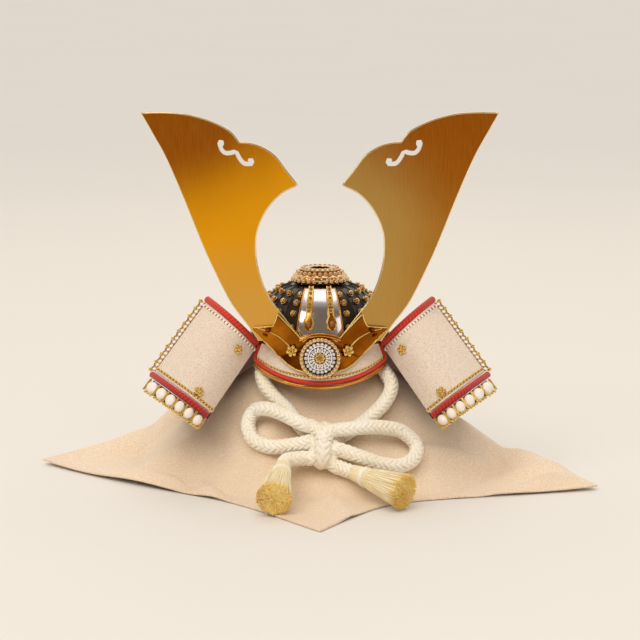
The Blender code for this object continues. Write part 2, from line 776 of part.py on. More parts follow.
def wing_normal(down, back):
    """The left wing's outward direction."""
    step = 0.01
    a = wing_point(-1, down + step, back) - wing_point(-1, down - step, back)
    b = wing_point(-1, down, back + step) - wing_point(-1, down, back - step)
    normal = b.cross(a).normalized()
    return normal if normal.y < 0 else -normal


def build_wing(parts, side, word):
    span = (wing_point(-1, 1, 0) - wing_point(-1, 0, 0)).length

    def leather(across, along):
        return wing_point(side, along, across)

    sheet(parts, "wing_" + word, leather, 10, 2, WING_WALL, "white_leather")

    def lacing(across, along):
        start = 2 * (WING_HEM_PIPING_RADIUS + GAP) + GAP
        down = 1 + (start + along * WING_LACING_REACH) / span
        bead = abs(math.sin(6 * math.pi * across))
        return wing_point(side, down - 0.012 * (1 - bead) * along, 0.04 + 0.93 * across, 0.0006 * bead)

    sheet(parts, "wing_lacing_" + word, lacing, 24, 1, WING_LACING_WALL, "white_lacing")

    def trim(across, along):
        edge = wing_point(side, across, 1.0)
        slope = (edge - wing_point(side, across, 0.96)).normalized()
        scallop = 0.78 + 0.22 * abs(math.cos(7 * math.pi * across))
        return edge + slope * (2 * GAP + along * WING_TRIM_REACH * scallop)

    sheet(parts, "wing_trim_" + word, trim, 21, 1, WING_TRIM_WALL, "gold")
    for row, down, radius in (
        ("top", -(WING_TOP_PIPING_RADIUS + 2 * GAP) / span, WING_TOP_PIPING_RADIUS),
        ("hem", 1 + (WING_HEM_PIPING_RADIUS + 2 * GAP) / span, WING_HEM_PIPING_RADIUS),
    ):
        points = [wing_point(side, down, 0.03 + 0.99 * n / 8) for n in range(9)]
        tube(parts, f"wing_{row}_piping_{word}", points, radius, "red_cord")
    for row, down, back in (("top", 0.19, 0.23), ("hem", 0.90, 0.33)):
        name = f"wing_{row}_stud_{word}"
        stud = turned(parts, name, button(WING_STUD_RADIUS, WING_STUD_HEIGHT), "gold", steps=8)
        normal = wing_normal(down, back)
        normal.x *= -side
        stud.location = wing_point(side, down, back, WING_WALL / 2 + 2 * GAP)
        stud.rotation_mode = "QUATERNION"
        stud.rotation_quaternion = Vector((0, 0, 1)).rotation_difference(normal)


def button(radius, height):
    """Profile of a low domed rivet."""
    return (
        (0.0, height),
        (0.35 * radius, 0.95 * height),
        (0.55 * radius, 0.60 * height),
        (0.90 * radius, 0.55 * height),
        (radius, 0.25 * height),
        (0.92 * radius, 0.0),
        (0.0, 0.0),
    )


# Horn socket, horns and crest

def visor_front(x, z):
    """How far forward the visor's middle lies at a sideways place and height."""
    turn, way = 0.0, 0.0
    for _ in range(6):
        half = visor_top()[0] + (VISOR_HALF_WIDTH - visor_top()[0]) * way
        turn = math.degrees(math.asin(min(0.95, abs(x / half))))
        rim = visor_point(turn, 1)
        way = (VISOR_TOP_Z - z) / (VISOR_TOP_Z - rim.z)
    return visor_point(turn, way).y


def socket_y(x, z):
    """Middle of the socket plate: round the visor at its foot, flatter behind the horns' feet."""
    upper = -SOCKET_FRONT + SOCKET_SWEEP * (x / SOCKET_HALF_WIDTH) ** 2
    top = HORN_FOOT_Z - GAP
    share = min(1.0, max(0.0, (z - top + SOCKET_BLEND_HEIGHT) / SOCKET_BLEND_HEIGHT))
    share = share * share * (3 - 2 * share)
    step = 0.0005
    along_x = (visor_front(abs(x) + step, z) - visor_front(abs(x), z)) / step
    along_z = (visor_front(x, z + step) - visor_front(x, z)) / step
    steep = math.sqrt(1 + along_x**2 + along_z**2)
    lower = visor_front(x, z) - (VISOR_WALL / 2 + SOCKET_WALL / 2 + 3 * GAP) * steep
    return min(lower, upper * share + lower * (1 - share))


def build_socket(parts):
    last = len(SOCKET_EDGES) - 1

    def place(across, along):
        column = round(across * 2 * last) - last
        row = SOCKET_EDGES[abs(column)]
        x = math.copysign(row["across"], column) * SOCKET_HALF_WIDTH
        z = SOCKET_FOOT_Z + SOCKET_HEIGHT * (row["foot"] + along * (row["top"] - row["foot"]))
        return Vector((x, socket_y(x, z), z))

    sheet(parts, "horn_socket", place, 2 * last, 4, SOCKET_WALL, "gold")


def outline_points(rows, corners, step, closed=True):
    """Smooth stretches of an outline between its sharp corners."""
    spots = [Vector((row["along"] * HORN_REACH, row["up"] * HORN_HEIGHT, 0.0)) for row in rows]
    out = []
    for start, end in zip(corners, corners[1:]):
        out += smooth_line(spots[start:end + 1], step)[:-1]
    return out + [spots[corners[-1]]]


def scroll_hook(first, last):
    """Outline of one hook of the pierced scroll: a round dot, then a stroke to the middle cusp."""
    middle = outline_points(SCROLL_LINE, (first, last), 0.0010)
    if first:
        middle.reverse()
    radius = SCROLL_DOT_RADIUS
    total = sum((b - a).length for a, b in zip(middle, middle[1:]))
    left, right, gone = [], [], 0.0
    for n, spot in enumerate(middle):
        before, after = middle[max(n - 1, 0)], middle[min(n + 1, len(middle) - 1)]
        gone += (spot - before).length
        across = Vector((before.y - after.y, after.x - before.x, 0.0)).normalized()
        dot = math.sqrt(max(0.1, 1 - (gone / radius - 1) ** 2)) * radius
        stroke = min(SCROLL_HALF_WIDTH, 0.0005 + 0.7 * (total - gone))
        half = max(dot, stroke) if gone < 2 * radius else stroke
        left.append(spot + across * half)
        right.append(spot - across * half)
    return left + right[::-1]


def flat_mesh(name, points, mirror, half_wall):
    """A flat outline in XY, filled and extruded, as a welded mesh."""
    curve = bpy.data.curves.new(name, "CURVE")
    curve.dimensions = "2D"
    curve.fill_mode = "BOTH"
    curve.extrude = half_wall
    spline = curve.splines.new("POLY")
    spline.points.add(len(points) - 1)
    for target, point in zip(spline.points, points):
        target.co = (mirror * point.x, point.y, 0.0, 1.0)
    spline.use_cyclic_u = True
    guide = bpy.data.objects.new(name, curve)
    bpy.context.scene.collection.objects.link(guide)
    seen = guide.evaluated_get(bpy.context.evaluated_depsgraph_get())
    mesh = bpy.data.meshes.new_from_object(seen)
    bpy.data.objects.remove(guide, do_unlink=True)
    bm = bmesh.new()
    bm.from_mesh(mesh)
    bmesh.ops.remove_doubles(bm, verts=bm.verts, dist=0.000001)
    bmesh.ops.recalc_face_normals(bm, faces=bm.faces)
    bm.to_mesh(mesh)
    bm.free()
    return mesh


def build_horn(parts, tools, side, word):
    outline = outline_points(HORN_OUTLINE, HORN_CORNERS, 0.0045)
    horn = keep(parts, "horn_" + word, flat_mesh("horn", outline, side, HORN_WALL / 2), "satin_gold")
    foot_x = HORN_FOOT_X + HORN_OUTLINE[-1]["along"] * HORN_REACH
    behind = (SOCKET_WALL + HORN_WALL) / 2 + 1.5 * GAP
    near, far = (socket_y(x, HORN_FOOT_Z) + behind for x in (HORN_FOOT_X, foot_x))
    yaw = math.atan2(far - near, foot_x - HORN_FOOT_X)
    place = Vector((side * HORN_FOOT_X, near, HORN_FOOT_Z))
    turn = (math.pi / 2, 0.0, side * yaw)
    cusp = len(SCROLL_LINE) // 2
    cuts = [
        keep(tools, f"scroll_{first}_{word}",
             flat_mesh("scroll", scroll_hook(first, last), side, HORN_WALL), "satin_gold")
        for first, last in ((0, cusp), (cusp, len(SCROLL_LINE) - 1))
    ]
    for item in (horn, *cuts):
        item.location = place
        item.rotation_euler = turn
    for cut in cuts:
        cut.hide_render = True
        cut.display_type = "WIRE"
        pierce = horn.modifiers.new(cut.name, "BOOLEAN")
        pierce.operation = "DIFFERENCE"
        pierce.object = cut


def crest_frame():
    """The crest's seat on the socket: its middle and its lean from upright."""
    low, high = CREST_Z - 0.8 * CREST_RADIUS, CREST_Z + 0.7 * CREST_RADIUS
    slope = (socket_y(0, high) - socket_y(0, low)) / (high - low)
    lean = math.atan(slope)
    front = 0.0
    for n in range(21):
        z = low + (high - low) * n / 20
        front = min(front, socket_y(0, z) - slope * (z - CREST_Z))
    y = front - (SOCKET_WALL / 2 + 2 * GAP) / math.cos(lean)
    return Vector((0.0, y, CREST_Z)), lean


def build_crest(parts):
    base = 0.0010
    d, r = CREST_DEPTH, CREST_RADIUS
    setting = (
        (0.0, base),
        (STONE_RING_OUTER + GAP, base),
        (STONE_RING_OUTER + 1.6 * GAP, 0.85 * d),
        (0.5 * (STONE_RING_OUTER + r), d),
        (0.96 * r, 0.80 * d),
        (r, 0.45 * d),
        (0.97 * r, 0.0),
        (0.0, 0.0),
    )
    floor = base + GAP
    stones = (
        (STONE_RING_INNER, floor + 0.0010),
        (0.45 * STONE_RING_INNER + 0.55 * STONE_RING_OUTER, floor + 0.0015),
        (STONE_RING_OUTER, floor + 0.0009),
        (STONE_RING_OUTER, floor),
        (STONE_RING_INNER, floor),
    )
    b = CREST_BOSS_RADIUS
    boss = (
        (0.0, floor + 0.0028),
        (0.30 * b, floor + 0.0026),
        (0.50 * b, floor + 0.0016),
        (0.85 * b, floor + 0.0016),
        (b, floor + 0.0008),
        (b, floor),
        (0.0, floor),
    )
    centre, lean = crest_frame()
    for name, profile, finish in (
        ("crest_setting", setting, "gold"),
        ("crest_stones", stones, "clear_stone"),
        ("crest_boss", boss, "gold"),
    ):
        piece = turned(parts, name, profile, finish, steps=20)
        piece.location = centre
        piece.rotation_euler = (math.pi / 2 - lean, 0.0, 0.0)


def build_knob(parts, side, word):
    knob = turned(parts, "knob_" + word, button(KNOB_RADIUS, KNOB_HEIGHT), "gold", steps=10)
    x, z, r = KNOB_SPREAD, KNOB_Z, KNOB_RADIUS
    along_x = (socket_y(x + r, z) - socket_y(x - r, z)) / (2 * r)
    along_z = (socket_y(x, z + r) - socket_y(x, z - r)) / (2 * r)
    normal = Vector((along_x, -1.0, along_z)).normalized()
    middle = Vector((x, socket_y(x, z), z))
    proud = 0.0
    for n in range(12):
        angle = math.radians(30 * n)
        near_x, near_z = x + r * math.cos(angle), z + r * math.sin(angle)
        proud = max(proud, (Vector((near_x, socket_y(near_x, near_z), near_z)) - middle).dot(normal))
    seat = middle + normal * (proud + SOCKET_WALL / 2 + 1.5 * GAP)
    knob.location = (side * seat.x, seat.y, seat.z)
    knob.rotation_mode = "QUATERNION"
    facing = Vector((side * normal.x, normal.y, normal.z))
    knob.rotation_quaternion = Vector((0, 0, 1)).rotation_difference(facing)


# Cords

def build_cords(parts):
    for name, route in CORD_ROUTES.items():
        tube(parts, name, smooth_line(route, CORD_RADIUS * 1.25), CORD_RADIUS, "cream_cord")
    size = (KNOT_HALF_WIDTH, KNOT_HALF_DEPTH, KNOT_HALF_HEIGHT, 1.0)
    mesh = bpy.data.meshes.new("bow_knot")
    bm = bmesh.new()
    bmesh.ops.create_cube(bm, size=2.0, matrix=Matrix.Diagonal(size))
    bm.to_mesh(mesh)
    bm.free()
    knot = keep(parts, "bow_knot", mesh, "cream_cord")
    knot.location = KNOT_CENTRE
    knot.rotation_euler = (math.radians(-KNOT_LEAN), 0.0, 0.0)
    round_off = knot.modifiers.new("rounding", "BEVEL")
    round_off.width = min(KNOT_ROUNDING, 0.9 * KNOT_HALF_WIDTH)
    round_off.segments = 3
    for word, end in TASSEL_ENDS.items():
        tail = [Vector(p) for p in CORD_ROUTES["cord_tail_" + word]]
        build_tassel(parts, word, tail[-1], Vector(end) - tail[-1])


def tassel_radius(way):
    """Radius of a tassel at a share of its length: a bound sleeve with a soft top, then a flare."""
    flare = max(0.0, (way - TASSEL_SLEEVE) / (1 - TASSEL_SLEEVE)) ** 0.9
    sleeve = TASSEL_NECK_RADIUS * (0.9 + min(0.1, way))
    return sleeve * (1 - flare) + TASSEL_END_RADIUS * flare


TASSEL_ROWS = (0.0, 0.08, 0.20, 0.40, 0.62, 0.85, 1.0)


def build_tassel(parts, word, neck, reach):
    """A flared bundle of locks, its neck against the cord's end."""
    rows = len(TASSEL_ROWS) + 1

    def place(across, along):
        row = round(along * rows)
        if row in (0, rows):
            return Vector((0.0, 0.0, 0.0 if row == 0 else TASSEL_LENGTH))
        way = TASSEL_ROWS[row - 1]
        lock = 1 + 0.035 * math.cos(2 * math.pi * TASSEL_LOCKS * across) * way
        radius = tassel_radius(way) * lock
        angle = -2 * math.pi * across
        return Vector((radius * math.cos(angle), radius * math.sin(angle), TASSEL_LENGTH * way))

    name = "tassel_" + word
    mesh = bpy.data.meshes.new(name)
    bm = bmesh.new()
    bmesh.ops.create_grid(bm, x_segments=2 * TASSEL_LOCKS, y_segments=rows, size=1.0)
    for vert in bm.verts:
        vert.co = place((vert.co.x + 1) / 2, (vert.co.y + 1) / 2)
    bmesh.ops.remove_doubles(bm, verts=bm.verts, dist=0.000001)
    bmesh.ops.recalc_face_normals(bm, faces=bm.faces)
    bm.to_mesh(mesh)
    bm.free()
    tassel = keep(parts, name, mesh, "tassel_silk")
    tassel.location = neck + reach.normalized() * 1.5 * GAP
    tassel.rotation_mode = "QUATERNION"
    tassel.rotation_quaternion = Vector((0, 0, 1)).rotation_difference(reach)


main()
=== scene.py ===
"""Looks of a miniature samurai helmet on its draped stand.

Metres, +Z up, origin under the middle of the stand. The front looks along -Y and +X is to its right.
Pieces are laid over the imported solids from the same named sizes.
"""

import math

import bmesh
import bpy
from mathutils import Matrix, Vector, noise


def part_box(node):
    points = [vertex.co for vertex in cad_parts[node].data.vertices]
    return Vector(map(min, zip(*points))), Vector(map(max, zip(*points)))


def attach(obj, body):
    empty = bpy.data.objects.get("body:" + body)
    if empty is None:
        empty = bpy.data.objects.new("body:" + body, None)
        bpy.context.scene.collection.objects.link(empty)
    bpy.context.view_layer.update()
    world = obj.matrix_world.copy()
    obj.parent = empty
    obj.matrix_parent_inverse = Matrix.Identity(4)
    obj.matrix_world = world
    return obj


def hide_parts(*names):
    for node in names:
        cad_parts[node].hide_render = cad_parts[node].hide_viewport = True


# Clearance between touching pieces
GAP = 0.0003

# Camera, at the height and distance that the picture was taken from
CAMERA_PLACE = (0.0, -1.34, 0.315)
CAMERA_TARGET = (0.0, 0.0, 0.0900)
CAMERA_LENS = 130

# Lamps: where each stands and aims, how wide it is, its power and colour
LAMPS = (
    {"name": "key", "place": (-0.75, -0.90, 1.05), "aim": (0, 0, 0.08), "size": 0.60, "power": 2.9,
     "colour": (1.0, 0.94, 0.86)},
    {"name": "fill", "place": (0.95, -0.80, 0.60), "aim": (0, 0, 0.08), "size": 0.70, "power": 1.5,
     "colour": (1.0, 0.92, 0.82)},
    {"name": "top", "place": (0.05, 0.35, 1.25), "aim": (0, 0, 0.08), "size": 0.80, "power": 1.4,
     "colour": (1.0, 0.92, 0.80)},
    {"name": "back", "place": (0.0, 1.10, 0.90), "aim": (0, 0.40, 0.08), "size": 0.80, "power": 0.7,
     "colour": (1.0, 0.84, 0.62)},
)
WINDOW_POWER = 1.65
WINDOW_SPREAD = 55
WINDOW_HEIGHT = 38
WINDOW_TURN = -12
WINDOW_COLOUR = (1.0, 0.96, 0.90)
# Light of the room, dark behind the camera and bright ahead of it
ROOM_TONES = (
    {"at": 0.30, "colour": (0.20, 0.145, 0.10)},
    {"at": 0.72, "colour": (0.86, 0.83, 0.78)},
)
ROOM_POWER = 0.95
FLOOR_RADIUS = 14.0
FLOOR_DROP = 0.0003

# Stand
NECK_RADIUS = 0.0205
HEAD_RADIUS = 0.0235
HEAD_FOOT_Z = 0.088

# Cloth
CLOTH_THICKNESS = 0.0012
CLOTH_SIDE = 0.290
CLOTH_COLUMNS = 140
CLOTH_ROWS = 96
CLOTH_HEAD_GAP = 1.7 * GAP
CLOTH_FLARE_GAP = 2.5 * GAP
CLOTH_EDGE_ROUNDING = 0.0003
# Heights by which the cloth is drawn in below the head and let out above the flare
CLOTH_TUCK = 0.006
CLOTH_NECK_RISE = 0.012
CLOTH_FLARE_RISE = 0.006
CLOTH_LEFT_CORNER_TURN = 95
CLOTH_RIGHT_CORNER_TURN = 72
CLOTH_FLARE_Z = 0.058
CLOTH_FLARE_RADIUS = 0.0275
CLOTH_FOOT_FRONT = 0.081
CLOTH_FOOT_SIDE = 0.109
CLOTH_FOOT_BACK = 0.090
CLOTH_CORNER_FRONT = 0.146
CLOTH_CORNER_SIDE = 0.167
CLOTH_CORNER_BACK = 0.150
FOLD_HEIGHT = 0.016

# Bowl
BOWL_HALF_WIDTH = 0.0370
BOWL_HALF_LENGTH = 0.0410
BOWL_RIM_Z = 0.0760
BOWL_HEIGHT = 0.0370
BOWL_WALL = 0.0015
BOWL_HOLE_RADIUS = 0.0075
BOWL_POWER = 2.8
RIB_COUNT = 20
# Rises in degrees between which the ribs stand out
RIB_LOW_RISE = 8
RIB_HIGH_RISE = 70
RIB_RADIUS = 0.00060
RIB_LIFT = 0.0002
RIDGE_LOW_RISE = 12
RIDGE_HEIGHT = 0.0004
STUD_RADIUS = 0.0017
STUD_RISES = (17, 31, 44, 56)
STUD_SEAT = 0.0004
STUD_LIFT = 0.0006
COLLAR_RADIUS = STUD_RADIUS * 1.22
BAND_HEIGHT = 0.0075
BAND_WALL = 0.0010
BAND_LIFT = 0.0005
BAND_BEAD_COUNT = 96
BAND_BEAD_RADIUS = 0.00085
RING_RADIUS = 0.0162
RING_HEIGHT = 0.0082
RING_PETALS = 16
# Rises of the front plate's foot and top in degrees, and the bare turn to either side of the front
PLATE_FOOT_RISE = 9
PLATE_TOP_RISE = 68
FRONT_TURN = 23
PLATE_WALL = 0.0006
PLATE_FOOT_HALF_WIDTH = 0.0136
PLATE_TOP_HALF_WIDTH = 0.0086
PLATE_EDGE_RADIUS = 0.00045
STRIP_WALL = 0.0011
STRIP_FOOT_X = 0.0070
STRIP_TOP_X = 0.0050
STRIP_TIP_RADIUS = 0.0029
STRIP_RIM_RADIUS = 0.00042
STRIP_DROP_PLACES = (0.36, 0.50, 0.64, 0.78, 0.91)
STRIP_DROP_RADIUS = 0.00098
STRIP_SEAT_RADIUS = 0.00148
STRIP_TIP_PLACE = 0.12
STRIP_STONE_RADIUS = 0.0015

# Visor
VISOR_TURN = 58
VISOR_TOP_Z = 0.0800
VISOR_RIM_Z = 0.0630
VISOR_CORNER_RISE = 0.0090
VISOR_SPREAD = 0.0060
VISOR_REACH = 0.0075
VISOR_HALF_WIDTH = BOWL_HALF_WIDTH + VISOR_SPREAD
VISOR_HALF_LENGTH = BOWL_HALF_LENGTH + VISOR_REACH
VISOR_WALL = 0.0014
VISOR_RIM_RADIUS = 0.00115
VISOR_PIPING_RADIUS = 0.0010
VISOR_TRIM_PLACE = 0.87
VISOR_BEAD_RADIUS = 0.00112
VISOR_STITCH_RADIUS = 0.00080

# Neck guard
LAME_COUNT = 4
LAME_WALL = 0.0011
LAME_LAP = 0.0026
LAME_LIFT = 0.0018
GUARD_TOP_TURN = 66
GUARD_HEM_TURN = 47
GUARD_TOP_Z = 0.0795
GUARD_HEM_Z = 0.0455
GUARD_SPREAD = 0.0490
GUARD_REACH = 0.0430
GUARD_HEM_HALF_WIDTH = BOWL_HALF_WIDTH + GUARD_SPREAD
GUARD_HEM_HALF_LENGTH = BOWL_HALF_LENGTH + GUARD_REACH
# Lacing cords on the top lame, and how many more each lower lame has
LACING_CORDS = 88
LACING_MORE_CORDS = 14
LACING_BULGE = 0.00055
LAME_TOP_RIM_RADIUS = 0.00075
LAME_HEM_RIM_RADIUS = 0.00062

# Wings
WING_WALL = 0.0020
WING_BULGE = 0.0125
WING_TOP_SPAN = Vector((-0.0285, 0.0080, 0.0245))
WING_HEM_SPAN = Vector((-0.0320, 0.0190, 0.0200))
WING_TOP_PIPING_RADIUS = 0.0021
WING_HEM_PIPING_RADIUS = 0.0019
WING_LACING_REACH = 0.0095
WING_LACING_WALL = 0.0042
WING_TRIM_REACH = 0.0042
WING_BEAD_COUNT = 39
WING_BEAD_RADIUS = 0.00110
WING_STITCH_RADIUS = 0.00078
LACE_LOOPS = 18
LACE_LOOP_RADIUS = 0.00036
LACE_INNER_RADIUS = 0.00052
LACE_OUTER_RADIUS = 0.00042
LACE_BEAD_COUNT = 10
LACE_BEAD_RADIUS = 0.00125
LACE_EYELET_RADIUS = 0.00085
PILLOW_COUNT = 6
PILLOW_START = 0.04
PILLOW_SPAN = 0.93
PILLOW_BAR_RADIUS = 0.00042
PILLOW_TIP_RADIUS = 0.00095

# Horn socket
SOCKET_SPREAD = 0.0010
SOCKET_REACH = 0.0028
SOCKET_HALF_WIDTH = BOWL_HALF_WIDTH + SOCKET_SPREAD
SOCKET_FOOT_Z = 0.0672
SOCKET_HEIGHT = 0.0331
SOCKET_WALL = 0.0010
SOCKET_FRONT = BOWL_HALF_LENGTH + SOCKET_REACH
SOCKET_SWEEP = 0.0060
SOCKET_BLEND_HEIGHT = 0.0120
SOCKET_RIM_RADIUS = 0.00048
SOCKET_FOLD_RADIUS = 0.00042
# Rolled lip above the crest
LIP_HALF_WIDTH = 0.0118
LIP_Z = 0.0856
LIP_RISE = 0.0026
LIP_RADIUS = 0.0014
# Horns
HORN_WALL = 0.0012
HORN_FOOT_X = 0.0098
HORN_FOOT_Z = 0.0843
HORN_REACH = 0.0930
HORN_HEIGHT = 0.1290
HORN_EDGE_RADIUS = 0.00063
HORN_STEP = 0.0012
SCROLL_STEP = 0.0010
SCROLL_HALF_WIDTH = 0.0013
SCROLL_DOT_RADIUS = 0.0020
# Crest and knobs
CREST_RADIUS = 0.0118
CREST_DEPTH = 0.0022
CREST_Z = 0.0756
STONE_RING_OUTER = 0.0092
CREST_BED_DEPTH = 0.0010
CREST_BEAD_COUNT = 30
CREST_BEAD_RADIUS = 0.00118
STONE_RINGS = (
    {"count": 22, "reach": 0.0080, "size": 0.00106},
    {"count": 18, "reach": 0.0056, "size": 0.00090},
)
WHITE_RING_REACH = 0.0067
WHITE_RING_RADIUS = 0.00036
CREST_PETAL_COUNT = 20
CREST_PETAL_REACH = 0.0041
CREST_PETAL_RADIUS = 0.0010
CREST_HEART_RADIUS = 0.00115
KNOB_HEIGHT = 0.0036
KNOB_FOOT_RADIUS = 0.0021
KNOB_TOP_RADIUS = 0.0016
KNOB_FOOT_HEIGHT = 0.0012
KNOB_HEART_RADIUS = 0.0007
KNOB_HEART_LIFT = 0.0034

# Small flowers of round petals
FLOWERS = {
    "wing": {"petals": 5, "reach": 0.0019, "petal": 0.00125, "lift": 0.0007, "heart": 0.0011},
    "crest": {"petals": 8, "reach": 0.0021, "petal": 0.00095, "lift": 0.0008, "heart": 0.0014},
    "knob": {"petals": 6, "reach": 0.0023, "petal": 0.00125, "lift": 0.0008, "heart": 0.0015},
}

# Cords
CORD_RADIUS = 0.0043
KNOT_HALF_HEIGHT = 0.0135
KNOT_LEAN = 35
KNOT_CENTRE = (0.0020, -0.0629, 0.0285)
KNOT_WRAP_RADIUS = CORD_RADIUS * 1.24
KNOT_WRAP_DEPTH = 0.0046
KNOT_WRAP_AHEAD = 0.0006
KNOT_WRAP_SWAY = 0.0009
KNOT_UNDER_RADIUS = CORD_RADIUS * 0.98
KNOT_UNDER_SPREAD = 0.0036
KNOT_UNDER_DEPTH = 0.0012
KNOT_UNDER_HEIGHT = 0.0052
# Places in the knot, from its middle: the chin cord's two ends, a loop's start and its crossing
CHIN_END_LEFT = Vector((-0.003, 0.003, 0.004))
CHIN_END_RIGHT = Vector((0.003, 0.003, 0.002))
LOOP_START = Vector((0.001, -0.001, 0.0075))
LOOP_CROSSING = Vector((0.0, -0.0042, -0.0045))
TASSEL_LENGTH = 0.0370
TASSEL_NECK_RADIUS = 0.0050
TASSEL_END_RADIUS = 0.0094
TASSEL_SLEEVE = 0.22
TASSEL_LOCKS = 8
TASSEL_GROOVES = 48
TASSEL_GROOVE_DEPTH = 0.00022
TASSEL_ROWS = 44
TASSEL_END_ROWS = 7
TASSEL_COLUMNS = 144
THREAD_COUNT = 230
THREAD_RADIUS = 0.00026
THREAD_SIDES = 5
BINDING_RADIUS = 0.00050
BINDING_TURNS = 3
BINDING_HALF_LENGTH = 0.035
# The turn between one thread and the next that spreads them evenly
GOLDEN_ANGLE = 2.39996

# Horn outline, from the foot up the inner edge, over the two lobes and down the outer edge.
# along is a share of the reach and up a share of the height.
HORN_OUTLINE = (
    {"along": 0.000, "up": 0.000},
    {"along": 0.075, "up": 0.066},
    {"along": 0.148, "up": 0.131},
    {"along": 0.202, "up": 0.183},
    {"along": 0.253, "up": 0.257},
    {"along": 0.289, "up": 0.352},
    {"along": 0.295, "up": 0.433},
    {"along": 0.286, "up": 0.488},
    {"along": 0.256, "up": 0.547},
    {"along": 0.202, "up": 0.610},
    {"along": 0.125, "up": 0.664},
    {"along": 0.034, "up": 0.697},
    {"along": 0.101, "up": 0.756},
    {"along": 0.171, "up": 0.820},
    {"along": 0.257, "up": 0.860},
    {"along": 0.332, "up": 0.875},
    {"along": 0.393, "up": 0.877},
    {"along": 0.453, "up": 0.926},
    {"along": 0.557, "up": 0.964},
    {"along": 0.672, "up": 0.989},
    {"along": 0.769, "up": 1.000},
    {"along": 0.885, "up": 1.003},
    {"along": 1.000, "up": 1.000},
    {"along": 0.931, "up": 0.914},
    {"along": 0.850, "up": 0.810},
    {"along": 0.749, "up": 0.647},
    {"along": 0.628, "up": 0.434},
    {"along": 0.556, "up": 0.320},
    {"along": 0.452, "up": 0.175},
    {"along": 0.344, "up": 0.073},
    {"along": 0.272, "up": 0.000},
)
HORN_CORNERS = (0, 11, 16, 22, 30)

# Middle line of the pierced scroll, in the same shares
SCROLL_LINE = (
    {"along": 0.503, "up": 0.888},
    {"along": 0.508, "up": 0.856},
    {"along": 0.482, "up": 0.833},
    {"along": 0.443, "up": 0.833},
    {"along": 0.412, "up": 0.842},
    {"along": 0.392, "up": 0.812},
    {"along": 0.362, "up": 0.788},
    {"along": 0.322, "up": 0.788},
    {"along": 0.322, "up": 0.810},
)

# Socket edges: across is a share of its half width, foot and top are shares of its height
SOCKET_EDGES = (
    {"across": 0.00, "foot": 0.00, "top": 0.62},
    {"across": 0.17, "foot": 0.01, "top": 0.59},
    {"across": 0.25, "foot": 0.03, "top": 0.53},
    {"across": 0.36, "foot": 0.06, "top": 0.68},
    {"across": 0.48, "foot": 0.13, "top": 0.82},
    {"across": 0.60, "foot": 0.24, "top": 0.96},
    {"across": 0.64, "foot": 0.28, "top": 1.00},
    {"across": 0.67, "foot": 0.32, "top": 0.88},
    {"across": 0.71, "foot": 0.37, "top": 0.79},
    {"across": 0.82, "foot": 0.50, "top": 0.77},
    {"across": 0.92, "foot": 0.62, "top": 0.76},
    {"across": 1.00, "foot": 0.70, "top": 0.75},
)

# Folds of the cloth: turn in degrees from the front, width in degrees, lift as a share of the
# fold height, start and end as shares of the way from the neck to the hem
CLOTH_FOLDS = (
    {"turn": -112, "width": 17, "lift": 1.15, "start": 0.45, "end": 1.12},
    {"turn": -72, "width": 13, "lift": 0.45, "start": 0.55, "end": 1.08},
    {"turn": -52, "width": 12, "lift": -0.30, "start": 0.15, "end": 0.60},
    {"turn": -27, "width": 14, "lift": 0.28, "start": 0.20, "end": 0.80},
    {"turn": 24, "width": 14, "lift": 0.30, "start": 0.20, "end": 0.85},
    {"turn": 50, "width": 13, "lift": -0.35, "start": 0.15, "end": 0.65},
    {"turn": 82, "width": 13, "lift": 0.90, "start": 0.48, "end": 1.10},
    {"turn": 112, "width": 15, "lift": 0.60, "start": 0.40, "end": 0.95},
    {"turn": 150, "width": 16, "lift": 0.55, "start": 0.30, "end": 0.90},
    {"turn": -150, "width": 16, "lift": 0.55, "start": 0.30, "end": 0.90},
)

# Soft creases of the crepe, in metres on the plan: where each starts and ends, how wide and how high
CLOTH_CREASES = (
    {"start": (-0.064, -0.062), "end": (-0.050, -0.118), "width": 0.0060, "lift": 0.0046},
    {"start": (-0.030, -0.052), "end": (-0.052, -0.030), "width": 0.0060, "lift": 0.0024},
    {"start": (0.006, -0.090), "end": (0.019, -0.126), "width": 0.0055, "lift": 0.0042},
    {"start": (0.060, -0.046), "end": (0.098, -0.030), "width": 0.0055, "lift": 0.0048},
    {"start": (0.080, -0.078), "end": (0.066, -0.106), "width": 0.0055, "lift": 0.0044},
    {"start": (0.098, -0.070), "end": (0.134, -0.050), "width": 0.0045, "lift": 0.0040},
    {"start": (0.112, -0.040), "end": (0.142, -0.034), "width": 0.0050, "lift": 0.0026},
    {"start": (-0.085, -0.050), "end": (-0.130, -0.030), "width": 0.0070, "lift": 0.0040},
    {"start": (-0.100, 0.020), "end": (-0.060, 0.075), "width": 0.0080, "lift": 0.0035},
    {"start": (0.085, 0.030), "end": (0.050, 0.085), "width": 0.0080, "lift": 0.0035},
    {"start": (0.010, 0.070), "end": (-0.012, 0.120), "width": 0.0080, "lift": 0.0030},
)
# How far the cloth stands up on the shoulders beside the neck
SHOULDER_LIFT = 0.0052
SHOULDER_RADIUS = 0.040
SHOULDER_WIDTH = 0.022

